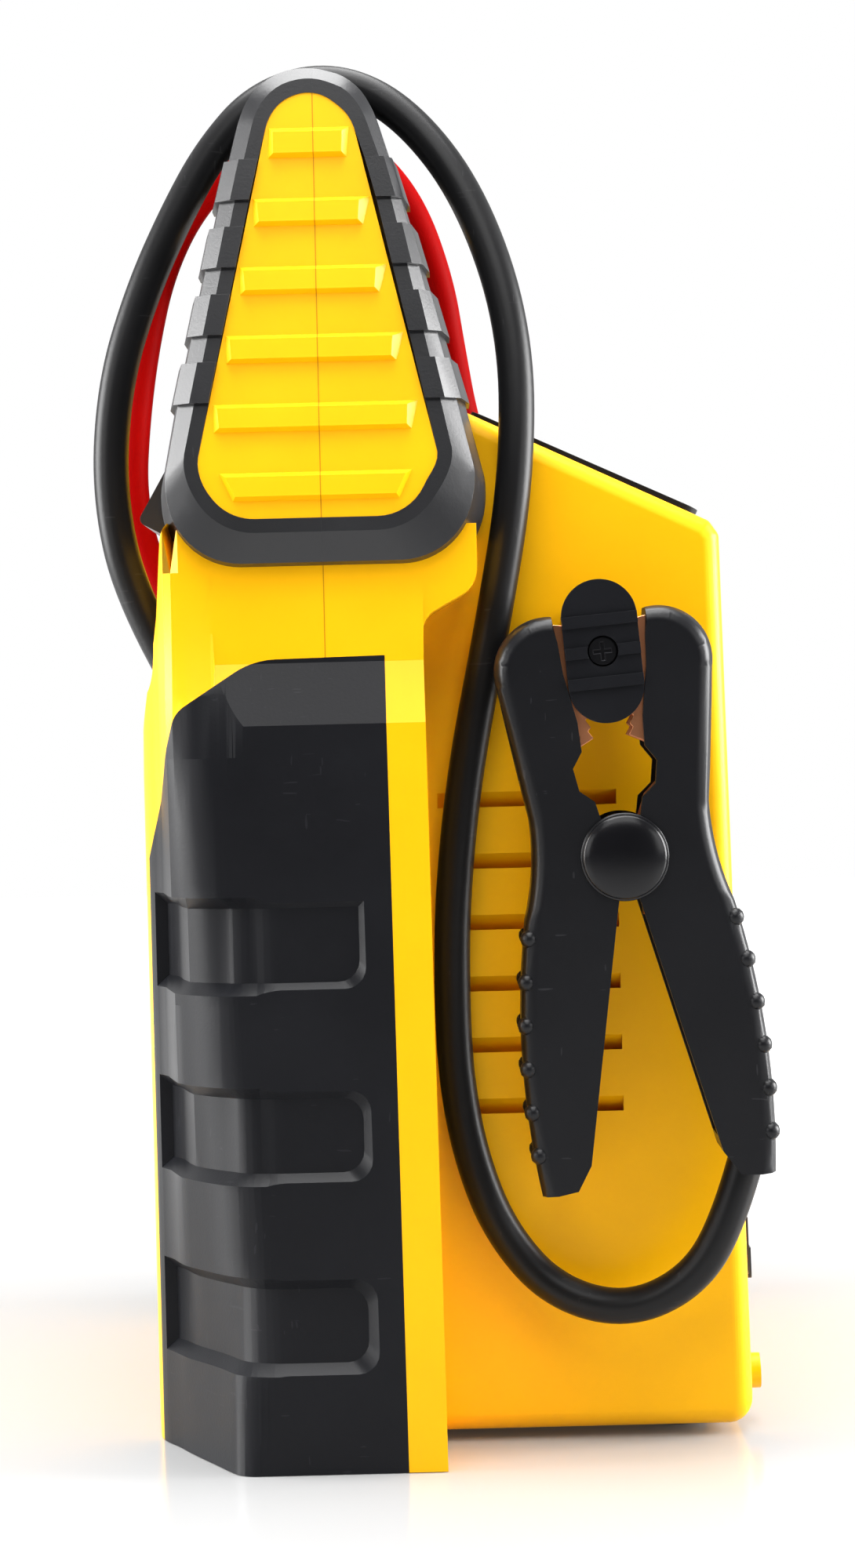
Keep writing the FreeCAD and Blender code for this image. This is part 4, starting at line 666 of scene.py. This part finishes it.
# %% Torsion springs
COIL_RADIUS = 4.7
COIL_WIRE = 0.9
COIL_PITCH = 2.25
COIL_TURNS = 2.5
COIL_LEG = 16.0


def coil_points():
    """Points of the wire in the clamp's own axes, in millimetres"""
    rise = COIL_PITCH / (2 * math.pi)
    steps = int(COIL_TURNS * 32)

    def turn_point(angle):
        return Vector((COIL_RADIUS * math.cos(angle), COIL_RADIUS * math.sin(angle),
                       rise * (angle - COIL_TURNS * math.pi)))

    def turn_way(angle):
        return Vector((-COIL_RADIUS * math.sin(angle), COIL_RADIUS * math.cos(angle), rise)).normalized()

    last = COIL_TURNS * 2 * math.pi
    points = [turn_point(0) - turn_way(0) * COIL_LEG]
    points += [turn_point(last * k / steps) for k in range(steps + 1)]
    return points + [turn_point(last) + turn_way(last) * COIL_LEG]


def wire_mesh(name, points, radius, material):
    """A round wire along points in metres, as a plain mesh"""
    curve = bpy.data.curves.new(name + "_line", "CURVE")
    curve.dimensions = "3D"
    curve.bevel_depth = radius * MM
    curve.bevel_resolution = 4
    curve.use_fill_caps = True
    spline = curve.splines.new("POLY")
    spline.points.add(len(points) - 1)
    for point, place in zip(spline.points, points):
        point.co = (*place, 1.0)
    line = bpy.data.objects.new(name + "_line", curve)
    bpy.context.collection.objects.link(line)
    bpy.context.view_layer.update()
    mesh = bpy.data.meshes.new_from_object(line.evaluated_get(bpy.context.evaluated_depsgraph_get()))
    bpy.data.objects.remove(line)
    mesh.name = name
    mesh.shade_smooth()
    mesh.materials.clear()
    mesh.materials.append(material)
    piece = bpy.data.objects.new(name, mesh)
    bpy.context.collection.objects.link(piece)
    return piece


for clamp_color, side in CLAMPS:
    face = clamp_face(side)
    turns = [face.at(q.x, q.y, q.z if side < 0 else -q.z) for q in coil_points()]
    spring = wire_mesh(clamp_color + "_spring", turns, COIL_WIRE, materials["spring_steel"])
    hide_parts(clamp_color + "_clamp_spring")
    keep(spring, clamp_color + "_clamp_spring")
    print(spring.name, "polygons", len(spring.data.polygons))

# %% [markdown]
# ## Grip studs
# Six round studs run down both edges of each handle half. They follow one arc, so Geometry Nodes lay them
# out: the arc goes through three points, gets six even places, and a small ball stands at each, sunk so that
# its dome shows. The tree ends in Set Material after Realize Instances, and the result becomes a plain mesh.

# %% Helper for Geometry Nodes


def growing_tree(name, inputs):
    """An empty Geometry Nodes tree with named inputs, and its two end nodes"""
    tree = bpy.data.node_groups.new(name, "GeometryNodeTree")
    for label, kind in (("Geometry", "Geometry"),) + inputs:
        tree.interface.new_socket(label, in_out="INPUT", socket_type="NodeSocket" + kind)
    tree.interface.new_socket("Geometry", in_out="OUTPUT", socket_type="NodeSocketGeometry")
    return tree, tree.nodes.new("NodeGroupInput"), tree.nodes.new("NodeGroupOutput")


# %% Studs along an arc
stud_tree, t_in, t_out = growing_tree("studs_along_arc", (
    ("Start", "Vector"), ("Middle", "Vector"), ("End", "Vector"), ("Count", "Int"), ("Radius", "Float"),
    ("Finish", "Material")))
arc = stud_tree.nodes.new("GeometryNodeCurveArc")
arc.mode = "POINTS"
arc.inputs["Resolution"].default_value = 64
for label in ("Start", "Middle", "End"):
    stud_tree.links.new(t_in.outputs[label], arc.inputs[label])
cut = stud_tree.nodes.new("GeometryNodeResampleCurve")
stud_tree.links.new(arc.outputs["Curve"], cut.inputs["Curve"])
stud_tree.links.new(t_in.outputs["Count"], cut.inputs["Count"])
dome = stud_tree.nodes.new("GeometryNodeMeshUVSphere")
dome.inputs["Segments"].default_value = 20
dome.inputs["Rings"].default_value = 12
stud_tree.links.new(t_in.outputs["Radius"], dome.inputs["Radius"])
stand = stud_tree.nodes.new("GeometryNodeInstanceOnPoints")
stud_tree.links.new(cut.outputs["Curve"], stand.inputs["Points"])
stud_tree.links.new(dome.outputs["Mesh"], stand.inputs["Instance"])
real = stud_tree.nodes.new("GeometryNodeRealizeInstances")
stud_tree.links.new(stand.outputs["Instances"], real.inputs["Geometry"])
smooth = stud_tree.nodes.new("GeometryNodeSetShadeSmooth")
stud_tree.links.new(real.outputs["Geometry"], smooth.inputs["Geometry"])
paint = stud_tree.nodes.new("GeometryNodeSetMaterial")
stud_tree.links.new(smooth.outputs["Geometry"], paint.inputs["Geometry"])
stud_tree.links.new(t_in.outputs["Finish"], paint.inputs["Material"])
stud_tree.links.new(paint.outputs["Geometry"], t_out.inputs["Geometry"])
print("stud nodes", len(stud_tree.nodes))

# %% Meshes from a tree


def grown(tree, name, values):
    """Runs a Geometry Nodes tree with named values and returns its mesh"""
    holder = bpy.data.objects.new(name + "_holder", bpy.data.meshes.new(name + "_holder"))
    bpy.context.collection.objects.link(holder)
    modifier = holder.modifiers.new("grow", "NODES")
    modifier.node_group = tree
    for item in tree.interface.items_tree:
        if item.in_out == "INPUT" and item.name in values:
            modifier[item.identifier] = values[item.name]
    bpy.context.view_layer.update()
    mesh = bpy.data.meshes.new_from_object(holder.evaluated_get(bpy.context.evaluated_depsgraph_get()))
    bpy.data.objects.remove(holder)
    mesh.name = name
    return mesh


def joined(name, meshes, material):
    """One piece from several meshes with one finish"""
    work = bmesh.new()
    for mesh in meshes:
        work.from_mesh(mesh)
    result = bpy.data.meshes.new(name)
    work.to_mesh(result)
    work.free()
    result.materials.append(material)
    for polygon in result.polygons:
        polygon.material_index = 0
    piece = bpy.data.objects.new(name, result)
    bpy.context.collection.objects.link(piece)
    return piece


# %% Studs of the clamps
STUD_RADIUS = 2.35
STUD_SUNK = 1.35
STUDS_IN_ROW = 6
STUD_HEIGHTS = (-18.5, -46.4, -74.25)
STUD_ASIDE = 8.3
# Three points of the grip's back edge, in the clamp's own axes.
EDGE = ((27.0, -14.0), (31.4, -47.5), (30.2, -85.0))


def edge_at(v):
    """Back edge of the handle at the height v, from the circle through the three points of EDGE"""
    (x1, y1), (x2, y2), (x3, y3) = EDGE
    s1, s2, s3 = x1 * x1 + y1 * y1, x2 * x2 + y2 * y2, x3 * x3 + y3 * y3
    d = 2 * (x1 * (y2 - y3) + x2 * (y3 - y1) + x3 * (y1 - y2))
    cx = (s1 * (y2 - y3) + s2 * (y3 - y1) + s3 * (y1 - y2)) / d
    cy = (s1 * (x3 - x2) + s2 * (x1 - x3) + s3 * (x2 - x1)) / d
    return cx + math.sqrt((x1 - cx) ** 2 + (y1 - cy) ** 2 - (v - cy) ** 2)


for clamp_color, side in CLAMPS:
    face = clamp_face(side)
    for half, half_side in (("fixed", -1), ("moving", 1)):
        rows = []
        for edge_side in (-1, 1):
            ends = []
            for v in STUD_HEIGHTS:
                ends.append(tuple(face.at(half_side * (edge_at(v) - STUD_SUNK), v, edge_side * STUD_ASIDE)))
            rows.append(grown(stud_tree, "row", {
                "Start": ends[0], "Middle": ends[1], "End": ends[2], "Count": STUDS_IN_ROW,
                "Radius": STUD_RADIUS * MM, "Finish": materials[clamp_color + "_clamp_plastic"]}))
        studs = joined("%s_%s_studs" % (clamp_color, half), rows, materials[clamp_color + "_clamp_plastic"])
        keep(studs, "%s_clamp_%s_grip" % (clamp_color, half))
        print(studs.name, "polygons", len(studs.data.polygons))

# %% [markdown]
# ## Cables
# Each jump cable is one free length: out of its boot behind the handle, over the bar, down the end of the
# pack, in a loop near the floor and up into the handle of the parked clamp. The route's points are the
# control points of a NURBS line, which stays smooth between them. The red cable stands in a wider loop over
# the bar.

# %% The two cables
CABLE_RADIUS = 4.75
ROUTE = [(-97.0, 66.5, 203.0), (-97.0, 79.1, 225.9), (-97.1, 85.0, 255.3), (-96.5, 82.6, 285.3),
         (-95.9, 74.5, 310.1), (-95.4, 64.6, 331.0), (-94.9, 55.0, 347.6), (-94.3, 41.8, 361.8),
         (-94.0, 22.5, 366.6), (-96.4, 3.6, 357.6), (-104.0, -14.2, 333.0), (-113.6, -25.3, 296.0),
         (-120.0, -24.7, 257.0), (-119.5, -17.2, 217.0), (-119.4, -9.0, 179.5), (-119.6, -4.9, 146.4),
         (-119.4, -4.1, 120.4), (-119.6, -4.6, 98.4), (-119.8, -7.9, 77.3), (-120.9, -15.1, 57.4),
         (-123.8, -28.6, 41.3), (-129.4, -48.0, 36.3), (-134.0, -65.6, 45.2), (-136.0, -75.0, 62.2),
         (-136.0, -79.6, 78.0)]
RED_ROUTE = [(97.0, 66.5, 203.0), (97.0, 79.1, 225.9), (97.0, 90.0, 246.0), (96.8, 94.4, 268.0),
             (96.5, 92.6, 292.0), (96.0, 88.9, 316.0), (95.5, 83.0, 340.0), (95.0, 72.0, 361.0),
             (94.5, 55.0, 376.5), (94.3, 35.0, 382.5), (94.5, 15.5, 376.5), (95.5, 1.6, 360.0),
             (98.0, -6.9, 335.0), (103.0, -10.2, 313.0), (113.6, -14.0, 291.0), (120.0, -21.8, 265.0),
             (120.0, -22.5, 242.0), (119.5, -17.2, 217.0), (119.4, -9.0, 179.5), (119.6, -4.9, 146.4),
             (119.4, -4.1, 120.4), (119.6, -4.6, 98.4), (119.8, -7.9, 77.3), (120.9, -15.1, 57.4),
             (123.8, -28.6, 41.3), (129.4, -48.0, 36.3), (134.0, -65.6, 45.2), (136.0, -75.0, 62.2),
             (136.0, -79.6, 78.0)]


def cable(name, route, material):
    """A round cable on a smooth line with the route's points as its control points"""
    curve = bpy.data.curves.new(name, "CURVE")
    curve.dimensions = "3D"
    curve.bevel_depth = CABLE_RADIUS * MM
    curve.bevel_resolution = 8
    curve.resolution_u = 10
    curve.use_fill_caps = True
    spline = curve.splines.new("NURBS")
    spline.points.add(len(route) - 1)
    for point, (x, y, z) in zip(spline.points, route):
        point.co = (x * MM, (y + DEPTH_SHIFT) * MM, z * MM, 1.0)
    spline.order_u = 3
    spline.use_endpoint_u = True
    spline.use_smooth = True
    curve.materials.append(material)
    piece = bpy.data.objects.new(name, curve)
    bpy.context.collection.objects.link(piece)
    print(name, "length", round(spline.calc_length(), 4))
    return piece


for clamp_color, route, told_length in (("black", ROUTE, 0.62), ("red", RED_ROUTE, 0.655)):
    lead = cable(clamp_color + "_lead", route, materials[clamp_color + "_cable_skin"])
    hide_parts(clamp_color + "_cable")
    keep(lead, clamp_color + "_cable")

# %% [markdown]
# ## Cable boots
# Where a cable leaves the casing, a rubber boot with a few ribs keeps it from kinking. It is turned like the
# caps, and it points along the first run of the cable.

# %% Cable boots
BOOT_LENGTH = 12.0
BOOT_RADIUS = 7.3
BOOT_RIBS = 4
BOOT_RIB_PITCH = 2.4
BOOT_TAPER = 0.42


def boot_profile():
    """A tapered ribbed sleeve, from its foot in the casing to its mouth"""
    profile = [(0.0, -BOOT_LENGTH), (BOOT_RADIUS, -BOOT_LENGTH), (BOOT_RADIUS + 0.2, -BOOT_LENGTH + 0.3)]
    for k in range(BOOT_RIBS):
        low = -BOOT_LENGTH + 2.2 + BOOT_RIB_PITCH * k
        wide = BOOT_RADIUS - BOOT_TAPER * k
        profile += [(wide, low), (wide - 0.7, low + 0.25), (wide - 0.75, low + 0.85),
                    (wide - 0.15, low + 1.1)]
    return profile + [(5.65, -0.3), (5.3, 0.0), (CABLE_RADIUS - 0.3, 0.0)]


for clamp_color, side in CLAMPS:
    foot = Vector((-side * ROUTE[0][0], ROUTE[0][1] + DEPTH_SHIFT, ROUTE[0][2]))
    way = Vector((-side * ROUTE[1][0], ROUTE[1][1] + DEPTH_SHIFT, ROUTE[1][2])) - foot
    place = Matrix.Translation(foot * MM) @ way.to_track_quat("Z", "Y").to_matrix().to_4x4()
    boot = lathe(clamp_color + "_boot", boot_profile(), place, materials[clamp_color + "_rubber"])
    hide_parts(clamp_color + "_cable_boot")
    keep(boot, clamp_color + "_cable_boot")
    print(boot.name, "vertices", len(boot.data.vertices))

# %% [markdown]
# ## Control panel
# The photograph sees the panel edge on. Such panels carry a knob with a ring of ticks, two round keys and a
# row of lights. The ticks, the rings round the keys and the flutes of the knob are all bars on a circle, so
# one Geometry Nodes tree makes them.

# %% Bars on a ring
tick_tree, k_in, k_out = growing_tree("ticks_on_ring", (
    ("Count", "Int"), ("Ring radius", "Float"), ("From", "Float"), ("Sweep", "Float"), ("Size", "Vector"),
    ("Finish", "Material")))
ring = tick_tree.nodes.new("GeometryNodeCurveArc")
ring.mode = "RADIUS"
tick_tree.links.new(k_in.outputs["Count"], ring.inputs["Resolution"])
tick_tree.links.new(k_in.outputs["Ring radius"], ring.inputs["Radius"])
tick_tree.links.new(k_in.outputs["From"], ring.inputs["Start Angle"])
tick_tree.links.new(k_in.outputs["Sweep"], ring.inputs["Sweep Angle"])
tangent = tick_tree.nodes.new("GeometryNodeInputTangent")
align = tick_tree.nodes.new("FunctionNodeAlignRotationToVector")
align.axis = "Y"
align.pivot_axis = "Z"
tick_tree.links.new(tangent.outputs["Tangent"], align.inputs["Vector"])
bar = tick_tree.nodes.new("GeometryNodeMeshCube")
tick_tree.links.new(k_in.outputs["Size"], bar.inputs["Size"])
lay = tick_tree.nodes.new("GeometryNodeInstanceOnPoints")
tick_tree.links.new(ring.outputs["Curve"], lay.inputs["Points"])
tick_tree.links.new(bar.outputs["Mesh"], lay.inputs["Instance"])
tick_tree.links.new(align.outputs["Rotation"], lay.inputs["Rotation"])
make_real = tick_tree.nodes.new("GeometryNodeRealizeInstances")
tick_tree.links.new(lay.outputs["Instances"], make_real.inputs["Geometry"])
color_it = tick_tree.nodes.new("GeometryNodeSetMaterial")
tick_tree.links.new(make_real.outputs["Geometry"], color_it.inputs["Geometry"])
tick_tree.links.new(k_in.outputs["Finish"], color_it.inputs["Material"])
tick_tree.links.new(color_it.outputs["Geometry"], k_out.inputs["Geometry"])

print("bar nodes", len(tick_tree.nodes))

# %% Ticks round the knob and rings round the keys
PANEL_TOP = 1.8
KNOB_PLACE = 42.0
KEY_X = -62.0
KEY_PLACES = (30.0, 55.0)
# The printed bars are so thick, and half of that is sunk in the panel.
PRINT_THICK = 0.12


def ring_of_bars(name, count, radius, start, sweep, size, finish):
    """A mesh of bars on a ring; the radius and the size in millimetres, the angles in degrees"""
    return grown(tick_tree, name, {
        "Count": count, "Ring radius": radius * MM, "From": math.radians(start), "Sweep": math.radians(sweep),
        "Size": tuple(length * MM for length in size), "Finish": materials[finish]})


def on_face(mesh, face, a, b, c):
    """Puts a mesh on a working face"""
    mesh.transform(face.matrix(a, b, c))
    return mesh


ticks = ring_of_bars("ticks", 9, 30.0, -20, 220, (3.2, 0.7, PRINT_THICK), "marking_white")
marks = [on_face(ticks, slope, 0.0, KNOB_PLACE, PANEL_TOP)]
for key_place in KEY_PLACES:
    key_ring = ring_of_bars("key_ring", 49, 9.0, 0, 360, (0.5, 1.3, PRINT_THICK), "marking_white")
    marks.append(on_face(key_ring, slope, KEY_X, key_place, PANEL_TOP))
dial = joined("panel_marks", marks, materials["marking_white"])
keep(dial, "control_panel")
print("panel marks polygons", len(dial.data.polygons))

# %% Flutes round the knob
FLUTES = 40
FLUTE_MIDDLE = -5.4
flutes = ring_of_bars("flutes", FLUTES, 22.7, 0, 360 - 360 / FLUTES, (0.6, 1.5, 5.0), "dark_plastic")
on_face(flutes, slope, 0.0, KNOB_PLACE, FLUTE_MIDDLE)
flute_ring = joined("knob_flutes", [flutes], materials["dark_plastic"])
keep(flute_ring, "power_knob")
print("flutes polygons", len(flute_ring.data.polygons))

# %% [markdown]
# ## Lamp
# Behind the window of the work lamp stands one row of light emitters, each a small turned dome. They are
# joined into one piece, because they never move against each other.

# %% Light emitters behind the lamp's window
EMITTERS = 6
EMITTER_PITCH = 8.0
EMITTER_OUT = 5.7
EMITTER_PROFILE = [(0.0, 0.7), (0.6, 0.6), (1.1, 0.3), (1.3, 0.0), (1.3, -0.3), (0.0, -0.3)]
emitters = []
for k in range(EMITTERS):
    across = (k - (EMITTERS - 1) / 2) * EMITTER_PITCH
    turned = lamp_face.matrix(EMITTER_OUT, 0.0, across) @ Matrix.Rotation(math.radians(90), 4, "Y")
    emitters.append(lathe("emitter", EMITTER_PROFILE, turned, materials["key_plastic"], steps=16))
emitter_row = joined("lamp_emitters", [piece.data for piece in emitters], materials["key_plastic"])
for piece in emitters:
    bpy.data.objects.remove(piece)
keep(emitter_row, "lamp_board")
print("emitters polygons", len(emitter_row.data.polygons))

# %% [markdown]
# ## Studio
# The photograph is high key: a white room, a pale glossy floor that mirrors the foot of the pack a little,
# and a darker side where the photographer stands, which keeps the black plastics black towards the camera
# and silver where they turn away. The floor glows more towards the back, so that it fades into the white room.

# %% Floor
FLOOR_GREY = 0.40
# Distance behind the pack where the glow starts and where it is full, and its strength there.
GLOW_FROM, GLOW_TO = 0.16, 0.60
GLOW_LEAST, GLOW_MOST = 0.02, 0.9
floor_mesh = bpy.data.meshes.new("floor")
floor_mesh.from_pydata([(-3, -3, 0), (3, -3, 0), (3, 3, 0), (-3, 3, 0)], [], [(0, 1, 2, 3)])
floor = bpy.data.objects.new("floor", floor_mesh)
floor.location.z = -0.0002
bpy.context.collection.objects.link(floor)
floor_material = bpy.data.materials.new("pale_floor")
floor_material.use_nodes = True
floor_shader = floor_material.node_tree.nodes["Principled BSDF"]
floor_shader.inputs["Base Color"].default_value = (FLOOR_GREY, FLOOR_GREY, FLOOR_GREY, 1)
floor_shader.inputs["Roughness"].default_value = 0.14
floor_shader.inputs["Specular IOR Level"].default_value = 0.35
floor_shader.inputs["Emission Color"].default_value = (1, 1, 1, 1)
floor_tree = floor_material.node_tree
floor_place = floor_tree.nodes.new("ShaderNodeTexCoord").outputs["Object"]
floor_far = floor_tree.nodes.new("ShaderNodeSeparateXYZ")
floor_tree.links.new(floor_place, floor_far.inputs["Vector"])
floor_glow = floor_tree.nodes.new("ShaderNodeMapRange")
floor_glow.interpolation_type = "SMOOTHSTEP"
for label, value in (("From Min", GLOW_FROM), ("From Max", GLOW_TO), ("To Min", GLOW_LEAST),
                     ("To Max", GLOW_MOST)):
    floor_glow.inputs[label].default_value = value
floor_tree.links.new(floor_far.outputs["X"], floor_glow.inputs["Value"])
floor_tree.links.new(floor_glow.outputs["Result"], floor_shader.inputs["Emission Strength"])
floor_mesh.materials.append(floor_material)
print("floor nodes", len(floor_tree.nodes))

# %% Room light
# The room's strength towards the camera's side and towards the back, and where it changes.
ROOM_FRONT, ROOM_BACK = 0.06, 0.80
ROOM_FROM, ROOM_TO = -0.85, 0.25
world = bpy.data.worlds.new("white_room")
world.use_nodes = True
bpy.context.scene.world = world
w_tree = world.node_tree
w_tree.nodes.clear()
w_out = w_tree.nodes.new("ShaderNodeOutputWorld")
w_pos = w_tree.nodes.new("ShaderNodeTexCoord").outputs["Generated"]
w_split = w_tree.nodes.new("ShaderNodeSeparateXYZ")
w_tree.links.new(w_pos, w_split.inputs["Vector"])
w_ramp = w_tree.nodes.new("ShaderNodeMapRange")
w_ramp.interpolation_type = "SMOOTHSTEP"
for label, value in (("From Min", ROOM_FROM), ("From Max", ROOM_TO), ("To Min", ROOM_FRONT),
                     ("To Max", ROOM_BACK)):
    w_ramp.inputs[label].default_value = value
w_tree.links.new(w_split.outputs["X"], w_ramp.inputs["Value"])
w_room = w_tree.nodes.new("ShaderNodeBackground")
w_tree.links.new(w_ramp.outputs["Result"], w_room.inputs["Strength"])
w_seen = w_tree.nodes.new("ShaderNodeBackground")
w_seen.inputs["Color"].default_value = (1, 1, 1, 1)
w_seen.inputs["Strength"].default_value = 1.0
w_mix = w_tree.nodes.new("ShaderNodeMixShader")
w_ray = w_tree.nodes.new("ShaderNodeLightPath")
w_tree.links.new(w_ray.outputs["Is Camera Ray"], w_mix.inputs["Fac"])
w_tree.links.new(w_room.outputs["Background"], w_mix.inputs[1])
w_tree.links.new(w_seen.outputs["Background"], w_mix.inputs[2])
w_tree.links.new(w_mix.outputs["Shader"], w_out.inputs["Surface"])

# %% Soft boxes
LIGHT_AIM = Vector((0, 0, 0.18))


def soft_box(name, place, size, power):
    """A square area light aimed at the middle of the pack"""
    light = bpy.data.lights.new(name, "AREA")
    light.size = size
    light.energy = power
    lamp = bpy.data.objects.new(name, light)
    lamp.location = place
    lamp.rotation_euler = (LIGHT_AIM - Vector(place)).to_track_quat("-Z", "Y").to_euler()
    bpy.context.collection.objects.link(lamp)


soft_box("front_light", (-0.85, 0.0, 1.15), 0.9, 9.0)
soft_box("crown_light", (-0.02, 0.05, 1.35), 1.1, 34.0)
soft_box("left_light", (-0.04, 1.10, 0.42), 0.7, 24.0)
soft_box("right_light", (-0.04, -1.10, 0.42), 0.7, 34.0)
soft_box("left_fill", (-1.0, 1.0, 0.5), 0.6, 3.5)
soft_box("right_fill", (-1.0, -1.0, 0.5), 0.6, 3.5)
print("soft boxes", len(bpy.data.lights))

# %% [markdown]
# ## Camera
# The photograph looks at the narrow end of the pack from about a metre, a little above its middle and nearly
# level. A long lens gives the same flat perspective, and a small pitch and roll match the picture's lines.

# %% Camera
CAMERA_PLACE = (-1.050, 0.00345, 0.1922)
CAMERA_PITCH = math.radians(1.02)
CAMERA_ROLL = math.radians(1.43)
camera_data = bpy.data.cameras.new("camera")
camera_data.lens = 81.0
camera_data.sensor_width = 36.0
camera_data.sensor_fit = "AUTO"
camera = bpy.data.objects.new("camera", camera_data)
forward = Vector((math.cos(CAMERA_PITCH), 0, -math.sin(CAMERA_PITCH)))
level_right = Vector((0, -1, 0))
level_up = level_right.cross(forward)
up = level_up * math.cos(CAMERA_ROLL) + level_right * math.sin(CAMERA_ROLL)
right = forward.cross(up)
camera.matrix_world = Matrix.Translation(CAMERA_PLACE) @ Matrix((right, up, -forward)).transposed().to_4x4()
bpy.context.collection.objects.link(camera)
bpy.context.scene.camera = camera
bpy.context.scene.view_settings.view_transform = "Standard"
print("camera at", CAMERA_PLACE)
